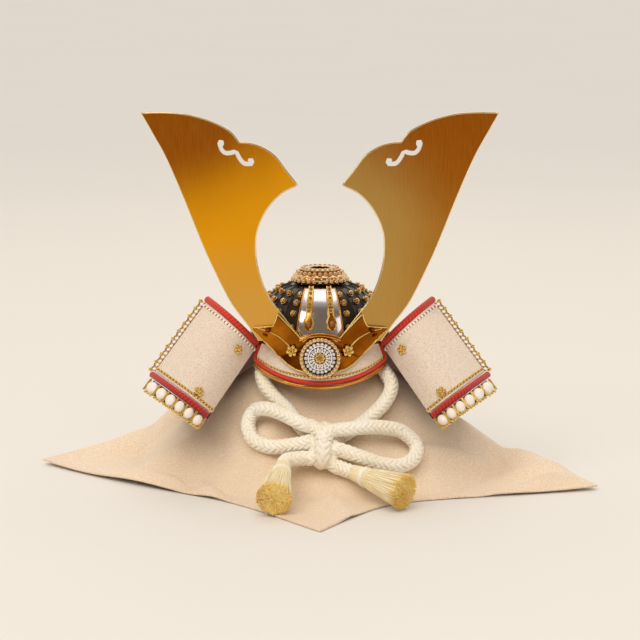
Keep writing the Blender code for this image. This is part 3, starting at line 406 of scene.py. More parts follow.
# Cord routes, in metres, from end to end. Each is one smooth line through these points.
CORD_ROUTES = {
    "chin_cord": (
        (-0.0064, -0.0535, 0.0332),
        (-0.0125, -0.0492, 0.0385),
        (-0.0190, -0.0435, 0.0455),
        (-0.0266, -0.0375, 0.0520),
        (-0.0325, -0.0310, 0.0590),
        (-0.0335, -0.0210, 0.0660),
        (-0.0294, -0.0030, 0.0700),
        (-0.0212, 0.0192, 0.0705),
        (0.0000, 0.0278, 0.0705),
        (0.0208, 0.0192, 0.0705),
        (0.0291, -0.0010, 0.0700),
        (0.0335, -0.0140, 0.0680),
        (0.0380, -0.0240, 0.0630),
        (0.0412, -0.0320, 0.0570),
        (0.0375, -0.0385, 0.0490),
        (0.0280, -0.0465, 0.0410),
        (0.0180, -0.0524, 0.0351),
        (0.0104, -0.0543, 0.0313),
    ),
    "bow_loop_left": (
        (-0.0048, -0.0603, 0.0391),
        (-0.0080, -0.0598, 0.0396),
        (-0.0135, -0.0580, 0.0418),
        (-0.0215, -0.0530, 0.0448),
        (-0.0305, -0.0470, 0.0465),
        (-0.0378, -0.0425, 0.0440),
        (-0.0412, -0.0450, 0.0370),
        (-0.0382, -0.0540, 0.0305),
        (-0.0290, -0.0605, 0.0275),
        (-0.0180, -0.0628, 0.0285),
        (-0.0085, -0.0640, 0.0303),
        (-0.0048, -0.0641, 0.0305),
    ),
    "bow_loop_right": (
        (0.0088, -0.0616, 0.0371),
        (0.0120, -0.0620, 0.0376),
        (0.0170, -0.0621, 0.0381),
        (0.0255, -0.0592, 0.0383),
        (0.0355, -0.0540, 0.0372),
        (0.0465, -0.0495, 0.0338),
        (0.0545, -0.0505, 0.0265),
        (0.0532, -0.0590, 0.0203),
        (0.0450, -0.0658, 0.0175),
        (0.0340, -0.0685, 0.0193),
        (0.0230, -0.0688, 0.0232),
        (0.0130, -0.0675, 0.0265),
        (0.0088, -0.0671, 0.0271),
    ),
    "cord_tail_left": (
        (-0.0048, -0.0689, 0.0226),
        (-0.0082, -0.0689, 0.0227),
        (-0.0130, -0.0702, 0.0226),
        (-0.0175, -0.0718, 0.0224),
        (-0.0200, -0.0752, 0.0217),
        (-0.0207, -0.0805, 0.0204),
    ),
    "cord_tail_right": (
        (0.0088, -0.0688, 0.0178),
        (0.0112, -0.0696, 0.0174),
        (0.0142, -0.0718, 0.0167),
        (0.0190, -0.0760, 0.0160),
    ),
}
TASSEL_ENDS = {
    "left": (-0.0250, -0.1150, 0.0113),
    "right": (0.0450, -0.0995, 0.0113),
}

# Plait of the cords
PLAIT_COLUMNS = 8
PLAIT_PITCH = 0.0033
PLAIT_SLANT = 0.85
PLAIT_DEPTH = 0.0010
PLAIT_STEP = 0.00045
PLAIT_SIDES = 48
KNOT_SIDES = 40

# Front strips: along runs from the point of the tip to the crown, width is a share of the tip's radius
STRIP_WIDTHS = (
    {"along": 0.00, "width": 0.10},
    {"along": 0.06, "width": 0.80},
    {"along": 0.13, "width": 1.00},
    {"along": 0.20, "width": 0.80},
    {"along": 0.26, "width": 0.45},
    {"along": 0.45, "width": 0.52},
    {"along": 0.64, "width": 0.50},
    {"along": 0.82, "width": 0.46},
    {"along": 1.00, "width": 0.40},
)

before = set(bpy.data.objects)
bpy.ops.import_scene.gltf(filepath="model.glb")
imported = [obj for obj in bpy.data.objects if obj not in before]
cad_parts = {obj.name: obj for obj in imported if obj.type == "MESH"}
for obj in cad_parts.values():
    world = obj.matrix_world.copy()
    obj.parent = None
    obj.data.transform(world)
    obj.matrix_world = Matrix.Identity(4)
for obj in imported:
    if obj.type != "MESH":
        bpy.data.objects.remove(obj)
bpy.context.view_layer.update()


def put(name, data):
    """A new object in the scene."""
    made = bpy.data.objects.new(name, data)
    bpy.context.scene.collection.objects.link(made)
    return made


def polar(radius, angle, z=0.0):
    """A point round Z, angle in radians from +X."""
    return Vector((radius * math.cos(angle), radius * math.sin(angle), z))


# Shapes that the solids follow

def smooth_line(points, step, closed=False):
    """Points at an even step along one smooth curve through the given ones."""
    knots = [Vector(p) for p in points]
    count = len(knots)
    fine = []
    for i in range(count if closed else count - 1):
        a = knots[i - 1] if closed or i else knots[0] * 2 - knots[1]
        b = knots[i]
        c = knots[(i + 1) % count]
        d = knots[(i + 2) % count] if closed or i + 2 < count else c * 2 - b
        for k in range(12):
            t = k / 12
            fine.append(
                0.5 * (2 * b + (c - a) * t + (2 * a - 5 * b + 4 * c - d) * t**2
                       + (3 * b - a - 3 * c + d) * t**3)
            )
    fine.append(knots[0] if closed else knots[-1])
    total = sum((q - p).length for p, q in zip(fine, fine[1:]))
    pieces = max(2, round(total / step))
    out, gone, k = [], 0.0, 0
    for n in range(pieces + 1):
        target = total * n / pieces
        while k < len(fine) - 2 and gone + (fine[k + 1] - fine[k]).length < target:
            gone += (fine[k + 1] - fine[k]).length
            k += 1
        span = (fine[k + 1] - fine[k]).length
        out.append(fine[k].lerp(fine[k + 1], min(1.0, (target - gone) / span if span else 0.0)))
    return out[:-1] if closed else out


def around(half_width, half_length, turn, z):
    """A point on an oval round the axis, turn in degrees from the front."""
    angle = math.radians(turn)
    return Vector((half_width * math.sin(angle), -half_length * math.cos(angle), z))


def weights(turn):
    """How much a direction belongs to the front, the side and the back."""
    ahead = math.cos(math.radians(turn))
    return max(0.0, ahead) ** 2, 1 - ahead**2, max(0.0, -ahead) ** 2


def mixed(turn, front, side, back):
    f, s, b = weights(turn)
    return front * f + side * s + back * b


def oval_height(radius, reach, height):
    """Height of the bowl's curve at a radius."""
    return height * (1 - (radius / reach) ** BOWL_POWER) ** (1 / BOWL_POWER)


def head_under(radius):
    """Underside of the cloth on the stand's head, which fills the bowl's crown."""
    reach = BOWL_HALF_WIDTH - BOWL_WALL
    crown = oval_height(radius + CLOTH_THICKNESS, reach, BOWL_HEIGHT - BOWL_WALL)
    return BOWL_RIM_Z + crown - CLOTH_THICKNESS * 1.2 - 2 * GAP


def corner_turn(turn):
    """Turn of the side corner that a direction lies nearer to."""
    return CLOTH_RIGHT_CORNER_TURN if turn % 360 <= 180 else CLOTH_LEFT_CORNER_TURN


def draped_turn(flat):
    """Where a direction of the flat square lies once its side corners are drawn forward or back."""
    bent = abs((flat + 180) % 360 - 180)
    corner = corner_turn(flat)
    turn = bent * corner / 90 if bent < 90 else corner + (bent - 90) * (180 - corner) / 90
    return turn if flat % 360 <= 180 else -turn


def hem_radius(turn):
    """Plan radius of the cloth's edge: a square, less what the slopes take up."""
    bent = abs((turn + 180) % 360 - 180)
    corner = corner_turn(turn)
    flat = bent * 90 / corner if bent < corner else 90 + (bent - corner) * 90 / (180 - corner)
    angle = math.radians(flat)
    half_diagonal = CLOTH_SIDE / math.sqrt(2)
    edge = half_diagonal / (abs(math.cos(angle)) + abs(math.sin(angle)))
    reach = mixed(flat, CLOTH_CORNER_FRONT, CLOTH_CORNER_SIDE, CLOTH_CORNER_BACK)
    return edge - (half_diagonal - reach)


def skirt_under(turn, share):
    """Underside of the cloth from its flare at share 0 to its hem at share 1."""
    hem = hem_radius(turn)
    radius = CLOTH_FLARE_RADIUS + share * (hem - CLOTH_FLARE_RADIUS)
    foot = min(0.92 * hem, mixed(turn, CLOTH_FOOT_FRONT, CLOTH_FOOT_SIDE, CLOTH_FOOT_BACK))
    way = min(1.0, (radius - CLOTH_FLARE_RADIUS) / (foot - CLOTH_FLARE_RADIUS))
    bend = mixed(turn, 1.0, 1.6, 1.2)
    fall = mixed(turn, 1.5, 1.1, 1.3)
    z = CLOTH_FLARE_Z * (1 - way**bend) ** fall
    for fold in CLOTH_FOLDS:
        off = ((turn - fold["turn"] + 180) % 360 - 180) / fold["width"]
        run = (share - fold["start"]) / (fold["end"] - fold["start"])
        if 0 < run < 1:
            z += FOLD_HEIGHT * fold["lift"] * math.exp(-off * off) * math.sin(math.pi * run) ** 2
    return around(radius, radius, turn, max(0.0, z))


def bowl_point(turn, rise, out=0.0):
    """A point on the bowl or a little outside it, turn and rise in degrees."""
    wide = math.cos(math.radians(rise)) ** (2 / BOWL_POWER)
    high = math.sin(math.radians(rise)) ** (2 / BOWL_POWER)
    spot = around(BOWL_HALF_WIDTH + out, BOWL_HALF_LENGTH + out, turn, 0.0) * wide
    spot.z = BOWL_RIM_Z + (BOWL_HEIGHT + out) * high
    return spot


def plate_point(x, rise, out):
    """A point on the bowl's front at a sideways place."""
    wide = math.cos(math.radians(rise)) ** (2 / BOWL_POWER)
    turn = math.degrees(math.asin(x / ((BOWL_HALF_WIDTH + out) * wide)))
    return bowl_point(turn, rise, out)


def visor_top(extra=0.0):
    """Half width and half length of the visor's inner edge, outside the waist band."""
    out = 2 * GAP + BAND_WALL + VISOR_WALL / 2 + extra
    return BOWL_HALF_WIDTH + out, BOWL_HALF_LENGTH + out


def visor_point(turn, way):
    """Middle of the visor's wall, way 0 at the bowl and 1 at the rim."""
    top = around(*visor_top(), turn, VISOR_TOP_Z)
    corner = (1 - math.cos(math.radians(turn))) / (1 - math.cos(math.radians(VISOR_TURN)))
    rim_z = VISOR_RIM_Z + VISOR_CORNER_RISE * corner
    return top.lerp(around(VISOR_HALF_WIDTH, VISOR_HALF_LENGTH, turn, rim_z), way)


def visor_edge(turn, beyond):
    """A point past the visor's rim, in the wall's own slope."""
    slope = (visor_point(turn, 1) - visor_point(turn, 0)).normalized()
    return visor_point(turn, 1) + slope * beyond


def guard_point(side, slant, lift=0.0):
    """Middle of the neck guard: side runs 0 at the left front, round the back, to 1."""
    top_turn = -(GUARD_TOP_TURN + side * (360 - 2 * GUARD_TOP_TURN))
    hem_turn = -(GUARD_HEM_TURN + side * (360 - 2 * GUARD_HEM_TURN))
    out = 2 * GAP + BAND_WALL + LAME_WALL
    top = around(BOWL_HALF_WIDTH + out, BOWL_HALF_LENGTH + out, top_turn, GUARD_TOP_Z)
    hem = around(GUARD_HEM_HALF_WIDTH, GUARD_HEM_HALF_LENGTH, hem_turn, GUARD_HEM_Z)
    fall = hem - top
    flat = Vector((fall.x, fall.y, 0.0))
    normal = Vector((-flat.x * fall.z, -flat.y * fall.z, flat.length_squared)).normalized()
    return top + fall * slant + normal * lift


def wing_corners():
    """The left wing's front line, from the bowl to the hem, and its back line."""
    forward = (guard_point(0, 0.5) - guard_point(0.02, 0.5)).normalized()
    away = forward * (WING_WALL / 2 + 2 * GAP)
    lift = Vector((0.0, 0.0, LAME_LIFT / 2))
    run = (guard_point(0, 1) - guard_point(0, 0)).length
    start = (2 * WING_TOP_PIPING_RADIUS + 3 * GAP) / run
    top, hem = guard_point(0, start) + away + lift, guard_point(0, 1.0) + away + lift
    return top, hem, top + WING_TOP_SPAN, hem + WING_HEM_SPAN


def wing_point(side, down, back, out=0.0):
    """A point on a wing: down 0 at the bowl to 1 at the hem, back 0 at the fold to 1."""
    top, hem, far_top, far_hem = wing_corners()
    front, rear = top.lerp(hem, down), far_top.lerp(far_hem, down)
    swell = Vector((0.10, -0.97, 0.20)) * (WING_BULGE * 4 * back * (1 - back))
    spot = front.lerp(rear, back) + swell
    if out:
        spot += wing_normal(down, back) * out
    return Vector((spot.x * -side, spot.y, spot.z))


def wing_normal(down, back):
    """The left wing's outward direction."""
    step = 0.01
    a = wing_point(-1, down + step, back) - wing_point(-1, down - step, back)
    b = wing_point(-1, down, back + step) - wing_point(-1, down, back - step)
    normal = b.cross(a).normalized()
    return normal if normal.y < 0 else -normal


def visor_front(x, z):
    """How far forward the visor's middle lies at a sideways place and height."""
    turn, way = 0.0, 0.0
    for _ in range(6):
        half = visor_top()[0] + (VISOR_HALF_WIDTH - visor_top()[0]) * way
        turn = math.degrees(math.asin(min(0.95, abs(x) / half)))
        rim = visor_point(turn, 1)
        way = (VISOR_TOP_Z - z) / (VISOR_TOP_Z - rim.z)
    return visor_point(turn, way).y


def socket_y(x, z):
    """Middle of the socket plate: round the visor at its foot, flatter behind the horns' feet."""
    upper = -SOCKET_FRONT + SOCKET_SWEEP * (x / SOCKET_HALF_WIDTH) ** 2
    top = HORN_FOOT_Z - GAP
    share = min(1.0, max(0.0, (z - top + SOCKET_BLEND_HEIGHT) / SOCKET_BLEND_HEIGHT))
    share = share * share * (3 - 2 * share)
    step = 0.0005
    along_x = (visor_front(abs(x) + step, z) - visor_front(abs(x), z)) / step
    along_z = (visor_front(x, z + step) - visor_front(x, z)) / step
    steep = math.sqrt(1 + along_x**2 + along_z**2)
    lower = visor_front(x, z) - (VISOR_WALL / 2 + SOCKET_WALL / 2 + 3 * GAP) * steep
    return min(lower, upper * share + lower * (1 - share))


def outline_points(rows, corners, step):
    """Smooth stretches of an outline between its sharp corners."""
    spots = [Vector((row["along"] * HORN_REACH, row["up"] * HORN_HEIGHT, 0.0)) for row in rows]
    out = []
    for start, end in zip(corners, corners[1:]):
        out += smooth_line(spots[start:end + 1], step)[:-1]
    return out + [spots[corners[-1]]]


def scroll_hook(first, last):
    """Outline of one hook of the pierced scroll: a round dot, then a stroke to the middle cusp."""
    middle = outline_points(SCROLL_LINE, (first, last), SCROLL_STEP)
    if first:
        middle.reverse()
    radius = SCROLL_DOT_RADIUS
    total = sum((b - a).length for a, b in zip(middle, middle[1:]))
    left, right, gone = [], [], 0.0
    for n, spot in enumerate(middle):
        before, after = middle[max(n - 1, 0)], middle[min(n + 1, len(middle) - 1)]
        gone += (spot - before).length
        across = Vector((before.y - after.y, after.x - before.x, 0.0)).normalized()
        dot = math.sqrt(max(0.1, 1 - (gone / radius - 1) ** 2)) * radius
        stroke = min(SCROLL_HALF_WIDTH, 0.0005 + 0.7 * (total - gone))
        half = max(dot, stroke) if gone < 2 * radius else stroke
        left.append(spot + across * half)
        right.append(spot - across * half)
    return left + right[::-1]


def flat_mesh(name, points, mirror, half_wall):
    """A flat outline in XY, filled and extruded, as a welded mesh."""
    curve = bpy.data.curves.new(name, "CURVE")
    curve.dimensions = "2D"
    curve.fill_mode = "BOTH"
    curve.extrude = half_wall
    spline = curve.splines.new("POLY")
    spline.points.add(len(points) - 1)
    for target, point in zip(spline.points, points):
        target.co = (mirror * point.x, point.y, 0.0, 1.0)
    spline.use_cyclic_u = True
    guide = put(name, curve)
    seen = guide.evaluated_get(bpy.context.evaluated_depsgraph_get())
    mesh = bpy.data.meshes.new_from_object(seen)
    bpy.data.objects.remove(guide, do_unlink=True)
    bm = bmesh.new()
    bm.from_mesh(mesh)
    bmesh.ops.remove_doubles(bm, verts=bm.verts, dist=0.000001)
    bmesh.ops.recalc_face_normals(bm, faces=bm.faces)
    bm.to_mesh(mesh)
    bm.free()
    return mesh


def crest_frame():
    """The crest's seat on the socket: its middle and its lean from upright."""
    low, high = CREST_Z - 0.8 * CREST_RADIUS, CREST_Z + 0.7 * CREST_RADIUS
    slope = (socket_y(0, high) - socket_y(0, low)) / (high - low)
    lean = math.atan(slope)
    front = 0.0
    for n in range(21):
        z = low + (high - low) * n / 20
        front = min(front, socket_y(0, z) - slope * (z - CREST_Z))
    y = front - (SOCKET_WALL / 2 + 2 * GAP) / math.cos(lean)
    return Vector((0.0, y, CREST_Z)), lean


# Making meshes

def new_piece(name, bm, finish, smooth=40):
    """A finished mesh as a piece that rides on the helmet, with its place in its mesh."""
    mesh = bpy.data.meshes.new(name)
    bm.to_mesh(mesh)
    bm.free()
    mesh.shade_smooth()
    mesh.set_sharp_from_angle(angle=math.radians(smooth))
    piece = put(name, mesh)
    paint, slot = finish
    mesh.materials.append(paint)
    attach(piece, "root")
    return piece


def grid_place(vert):
    """Where a point of an even grid lies, both 0 to 1."""
    return (vert.co.x + 1) / 2, (vert.co.y + 1) / 2


def even_grid(columns, rows, wide, high):
    """A flat grid whose UV map measures wide by high."""
    bm = bmesh.new()
    uv = bm.loops.layers.uv.new("pattern")
    bmesh.ops.create_grid(bm, x_segments=columns, y_segments=rows, size=1.0)
    for face in bm.faces:
        for loop in face.loops:
            x, y = grid_place(loop.vert)
            loop[uv].uv = (x * wide, y * high)
    return bm


def lay(name, place, columns, rows, finish, wall=0.0, offset=0.0, edge=0.0, size=(1.0, 1.0)):
    """A fine grid laid by place(across, along), both 0 to 1, with its wall and rounded edges."""
    bm = even_grid(columns, rows, *size)
    for vert in bm.verts:
        vert.co = place(*grid_place(vert))
    bmesh.ops.remove_doubles(bm, verts=bm.verts, dist=0.000002)
    piece = new_piece(name, bm, finish)
    if wall:
        solid = piece.modifiers.new("wall", "SOLIDIFY")
        solid.thickness = wall
        solid.offset = offset
    if edge:
        soften = piece.modifiers.new("edge", "BEVEL")
        soften.width = edge
        soften.segments = 2
        soften.limit_method = "ANGLE"
        soften.angle_limit = math.radians(50)
    return piece


def path_frames(path, closed=False):
    """For each point of a path, its direction and two directions across that don't twist."""
    count = len(path)
    out, side = [], None
    for n in range(count):
        before = path[n - 1] if closed or n else path[0]
        after = path[(n + 1) % count] if closed or n + 1 < count else path[-1]
        ahead = (after - before).normalized()
        if side is None:
            side = ahead.cross(Vector((0.3, 0.2, 1.0))).normalized()
        side = (side - ahead * side.dot(ahead)).normalized()
        out.append((ahead, side, ahead.cross(side)))
    return out


def sweep(name, path, radius, sides, finish, relief=None, depth=0.0, closed=False):
    """A round cord along a path. relief(share, distance) from 0 to 1 raises its strands by depth."""
    frames = path_frames(path, closed)
    rows = len(path) if closed else len(path) - 1
    step = (path[1] - path[0]).length
    bm = even_grid(sides, rows, 2 * math.pi * radius, rows * step)
    raised = bm.verts.layers.float.new("relief")
    for vert in bm.verts:
        share, along = grid_place(vert)
        row = round(along * rows)
        lift = relief(share % 1, row * step) if relief else 1.0
        side, other = frames[row % len(path)][1:]
        angle = 2 * math.pi * share
        out = side * math.cos(angle) + other * math.sin(angle)
        vert[raised] = lift
        vert.co = path[row % len(path)] + out * (radius - depth * (1 - lift))
    bmesh.ops.remove_doubles(bm, verts=bm.verts, dist=0.000001)
    if not closed:
        bmesh.ops.holes_fill(bm, edges=[e for e in bm.edges if e.is_boundary])
    bmesh.ops.recalc_face_normals(bm, faces=bm.faces)
    return new_piece(name, bm, finish, 60)


def facing(place, outward):
    """A matrix that stands +Z of a small shape along outward at a place."""
    tilt = Vector((0, 0, 1)).rotation_difference(outward).to_matrix().to_4x4()
    return Matrix.Translation(place) @ tilt


def ball(bm, matrix, radius, around_count, up_count, stretch=(1.0, 1.0, 1.0)):
    """A round bead in an open mesh, stretched along its own axes."""
    bmesh.ops.create_uvsphere(
        bm, u_segments=around_count, v_segments=up_count, radius=radius,
        matrix=matrix @ Matrix.Diagonal((*stretch, 1.0)),
    )


def beads(name, spots, radius, finish, flat=1.0, around_count=8, up_count=6):
    """Many small round beads, each at (place, outward), flattened along outward."""
    bm = bmesh.new()
    for place, outward in spots:
        ball(bm, facing(place, outward), radius, around_count, up_count, (1.0, 1.0, flat))
    return new_piece(name, bm, finish, 180)


def rosette(bm, matrix, petals, reach, petal, lift, heart):
    """A small flower: a ring of round petals with a heart in the middle."""
    for n in range(petals):
        spot = Matrix.Translation(polar(reach, 2 * math.pi * n / petals, lift))
        ball(bm, matrix @ spot, petal, 10, 7, (1.0, 1.0, 0.7))
    ball(bm, matrix @ Matrix.Translation((0, 0, lift * 1.5)), heart, 12, 8)


def turned(name, profile, finish, steps, matrix, wave=None):
    """A profile of (radius, height) spun round Z into a closed shape and put in its place."""
    bm = bmesh.new()
    verts = [bm.verts.new((r, 0.0, z)) for r, z in profile]
    edges = [bm.edges.new(pair) for pair in zip(verts, verts[1:])]
    if profile[0][0] > 0:
        edges.append(bm.edges.new((verts[-1], verts[0])))
    bmesh.ops.spin(
        bm, geom=verts + edges, cent=(0, 0, 0), axis=(0, 0, 1), angle=2 * math.pi,
        steps=steps, use_merge=True,
    )
    bmesh.ops.remove_doubles(bm, verts=bm.verts, dist=0.000001)
    if wave:
        for vert in bm.verts:
            vert.co = wave(vert.co)
    bmesh.ops.recalc_face_normals(bm, faces=bm.faces)
    bmesh.ops.transform(bm, matrix=matrix, verts=bm.verts)
    return new_piece(name, bm, finish, 35)


# Shader nodes

class Wire:
    """A node's output that sums and products can be written with."""

    def __init__(self, finish, socket):
        self.finish = finish
        self.socket = socket

    def maths(self, operation, *values):
        inputs = {n: value for n, value in enumerate(values)}
        return self.finish.node("ShaderNodeMath", {"operation": operation}, inputs)

    def __add__(self, other):
        return self.maths("ADD", self, other)

    def __sub__(self, other):
        return self.maths("SUBTRACT", self, other)

    def __rsub__(self, other):
        return self.maths("SUBTRACT", other, self)

    def __mul__(self, other):
        return self.maths("MULTIPLY", self, other)

    def __abs__(self):
        return self.maths("ABSOLUTE", self)

    __radd__ = __add__
    __rmul__ = __mul__

    def sine(self):
        return self.maths("SINE", self)

    def between(self, low, high):
        """0 below low, 1 above high and smooth in between."""
        return self.finish.node(
            "ShaderNodeMapRange", {"interpolation_type": "SMOOTHSTEP"},
            {"Value": self, "From Min": low, "From Max": high},
        )


class Finish:
    """One material and its nodes."""

    def __init__(self, name, slot, **constants):
        self.material = bpy.data.materials.new(name)
        self.material.use_nodes = True
        self.slot = slot
        self.tree = self.material.node_tree
        self.shader = self.tree.nodes["Principled BSDF"]
        for socket, value in constants.items():
            self.feed(self.shader.inputs[socket.replace("_", " ")], value)

    def feed(self, socket, value):
        if isinstance(value, Wire):
            self.tree.links.new(value.socket, socket)
        elif isinstance(value, tuple) and socket.type == "RGBA":
            socket.default_value = (*value[:3], 1.0)
        else:
            socket.default_value = value

    def node(self, kind, settings=None, inputs=None, output=0):
        made = self.tree.nodes.new(kind)
        for key, value in (settings or {}).items():
            setattr(made, key, value)
        for key, value in (inputs or {}).items():
            self.feed(made.inputs[key], value)
        return Wire(self, made.outputs[output])

    def place(self, scale=(1.0, 1.0, 1.0)):
        """The place on the object in metres, stretched where scale says so."""
        spot = self.node("ShaderNodeTexCoord", output="Object")
        return self.node("ShaderNodeMapping", None, {"Vector": spot, "Scale": scale})

    def pattern(self):
        """The piece's own UV map as two lengths."""
        spot = self.node("ShaderNodeUVMap", {"uv_map": "pattern"})
        split = self.node("ShaderNodeSeparateXYZ", None, {0: spot})
        down = Wire(self, split.socket.node.outputs[1])
        return spot, split, down

    def mottle(self, scale, detail=3.0, spot=None):
        return self.node(
            "ShaderNodeTexNoise", None,
            {"Vector": spot or self.place(), "Scale": scale, "Detail": detail}, "Fac",
        )

    def cells(self, scale, feature="F1", spot=None):
        return self.node(
            "ShaderNodeTexVoronoi", {"feature": feature},
            {"Vector": spot or self.place(), "Scale": scale}, "Distance",
        )

    def blend(self, share, low, high):
        """One colour at share 0 and the other at share 1."""
        return self.node("ShaderNodeMix", {"data_type": "RGBA"}, {0: share, 6: low, 7: high}, 2)

    def attribute(self, name):
        return self.node("ShaderNodeAttribute", {"attribute_name": name}, None, "Fac")

    def show(self, bump=None, bump_depth=0.0, strength=1.0, **varying):
        """Connect what changes over the surface and return the material and its slot."""
        if bump:
            normal = self.node(
                "ShaderNodeBump", None,
                {"Height": bump, "Strength": strength, "Distance": bump_depth}, "Normal",
            )
            varying["Normal"] = normal
        for socket, value in varying.items():
            self.feed(self.shader.inputs[socket.replace("_", " ")], value)
        return self.material, self.slot


def polished_gold():
    """Mirror gold of a warm orange."""
    paint = Finish("polished gold", "gold", Metallic=1.0)
    cloud = paint.mottle(55.0, 2.0)
    scratch = paint.mottle(900.0, 2.0, paint.place((1.0, 1.0, 0.15)))
    return paint.show(
        bump=scratch, bump_depth=0.00003, strength=0.2,
        Base_Color=paint.blend(cloud.between(0.30, 0.68), (0.68, 0.27, 0.045), (0.95, 0.52, 0.13)),
        Roughness=0.11 + 0.08 * cloud + 0.05 * scratch,
    )


def brushed_gold():
    """Satin gold with hair-fine brushing and painted reflection in its colour: brown toward the horns'
    outer tops, orange over a tan foot on the left horn, darker olive tan on the right.
    """
    paint = Finish("brushed gold", "satin_gold", Metallic=1.0)
    hair = paint.mottle(420.0, 3.0, paint.place((3.0, 3.0, 0.25)))
    broad = paint.mottle(14.0, 2.0)
    spot = paint.node("ShaderNodeSeparateXYZ", None, {0: paint.place()})
    height = Wire(paint, spot.socket.node.outputs[2])
    # Painted reflection: masks by height, distance from the middle and side paint the horns' reflected
    # tones
    away = abs(spot)
    right = spot.between(-0.004, 0.004)
    dark_top_reflection_mask = (height + away * 0.55 + broad * 0.040).between(0.195, 0.262)
    foot = (0.250 - height + broad * 0.030).between(0.120, 0.165)
    inner = (0.090 - away + broad * 0.020).between(0.020, 0.065)
    left_horn_painted_reflection = paint.blend(foot, (1.0, 0.43, 0.004), (0.82, 0.43, 0.075))
    right_horn_painted_reflection = paint.blend(inner, (0.50, 0.20, 0.018), (0.56, 0.33, 0.085))
    # Painted reflection tone of each horn, chosen by its side
    warm = paint.blend(right, left_horn_painted_reflection, right_horn_painted_reflection)
    painted_reflection_tone = paint.blend(dark_top_reflection_mask, warm, (0.40, 0.105, 0.002))
    return paint.show(
        bump=hair, bump_depth=0.00001, strength=0.15,
        Base_Color=paint.blend(hair.between(0.2, 0.8) * 0.08, painted_reflection_tone, (1.0, 0.64, 0.15)),
        Roughness=0.26 + 0.08 * hair,
    )


def fired_gold():
    """Dark orange mirror gold, cloudy as if fired."""
    paint = Finish("fired gold", "gold", Metallic=1.0)
    cloud = paint.mottle(42.0, 3.0)
    fine = paint.mottle(800.0, 2.0)
    return paint.show(
        bump=fine, bump_depth=0.00003, strength=0.25,
        Base_Color=paint.blend(cloud.between(0.30, 0.70), (0.22, 0.055, 0.003), (0.56, 0.19, 0.012)),
        Roughness=0.13 + 0.10 * cloud + 0.06 * fine,
    )


def stud_gold():
    """Dark antique gold of the studs, with bright patches that are painted glints."""
    paint = Finish("stud gold", "gold", Metallic=1.0)
    cloud = paint.mottle(380.0, 3.0)
    return paint.show(
        bump=paint.mottle(1400.0, 2.0), bump_depth=0.00006, strength=0.4,
        # Painted glints: the mottle lightens random patches toward bright gold
        Base_Color=paint.blend(cloud.between(0.3, 0.7), (0.46, 0.25, 0.07), (0.90, 0.62, 0.26)),
        Roughness=0.10 + 0.14 * cloud,
    )


def mottled_gold(name, scale, dark, light, least, spread):
    """Plain gold that wanders between two tones and from its least roughness by a spread."""
    paint = Finish(name, "gold", Metallic=1.0)
    cloud = paint.mottle(scale)
    return paint.show(
        Base_Color=paint.blend(cloud, dark, light), Roughness=least + spread * cloud,
    )


def polished_silver():
    paint = Finish("polished silver", "silver", Metallic=1.0)
    hair = paint.mottle(420.0, 3.0, paint.place((4.0, 4.0, 0.3)))
    return paint.show(
        bump=hair, bump_depth=0.00003, strength=0.3,
        Base_Color=paint.blend(hair, (0.70, 0.69, 0.77), (0.95, 0.93, 0.97)), Roughness=0.08 + 0.16 * hair,
    )


def lacquer():
    paint = Finish(
        "black lacquer", "black_lacquer",
        Coat_Weight=0.12, Coat_Roughness=0.08, Specular_IOR_Level=0.22,
    )
    cloud = paint.mottle(60.0)
    dust = paint.cells(1100.0)
    return paint.show(
        bump=paint.mottle(240.0), bump_depth=0.00005, strength=0.3,
        Base_Color=paint.blend(cloud, (0.006, 0.005, 0.005), (0.026, 0.015, 0.009)),
        Roughness=0.16 + 0.12 * cloud + 0.05 * dust,
    )


def grained_leather():
    paint = Finish("grained leather", "white_leather", Sheen_Weight=0.2, Sheen_Roughness=0.4)
    pebble = paint.cells(1500.0, "SMOOTH_F1")
    fine = paint.mottle(3200.0, 2.0)
    tint = paint.mottle(420.0, 3.0)
    cloud = paint.mottle(60.0, 2.0)
    pearl = paint.blend(tint.between(0.35, 0.65), (0.82, 0.66, 0.57), (0.83, 0.76, 0.64))
    warm = paint.blend(cloud.between(0.3, 0.75), pearl, (0.83, 0.70, 0.56))
    return paint.show(
        bump=(1 - pebble) + 0.3 * fine, bump_depth=0.00022, strength=0.5,
        Base_Color=paint.blend((pebble + 0.3 * fine).between(0.35, 1.1), warm, (0.62, 0.50, 0.42)),
        Roughness=0.34 + 0.22 * tint,
    )


def silk_wrapped(name, dark, light):
    paint = Finish(name, "red_cord", Sheen_Weight=0.3, Sheen_Roughness=0.5)
    relief = paint.attribute("relief")
    fibre = paint.mottle(2200.0, 3.0)
    shade = (relief * 0.8 + fibre * 0.3).between(0.25, 0.95)
    return paint.show(
        bump=fibre, bump_depth=0.00008, strength=0.5,
        Base_Color=paint.blend(shade, dark, light), Roughness=0.38 + 0.3 * fibre,
    )


def plaited_cream():
    paint = Finish("plaited cream", "cream_cord", Sheen_Weight=0.35, Sheen_Roughness=0.45)
    relief = paint.attribute("relief")
    fibre = paint.mottle(2400.0)
    cloud = paint.mottle(55.0, 2.0)
    body = paint.blend(cloud.between(0.35, 0.7), (0.97, 0.93, 0.83), (0.95, 0.88, 0.71))
    shade = (relief + 0.25 * fibre).between(0.15, 0.80)
    return paint.show(
        bump=fibre, bump_depth=0.00010, strength=0.6,
        Base_Color=paint.blend(shade, (0.76, 0.59, 0.34), body), Roughness=0.36 + 0.25 * fibre,
    )


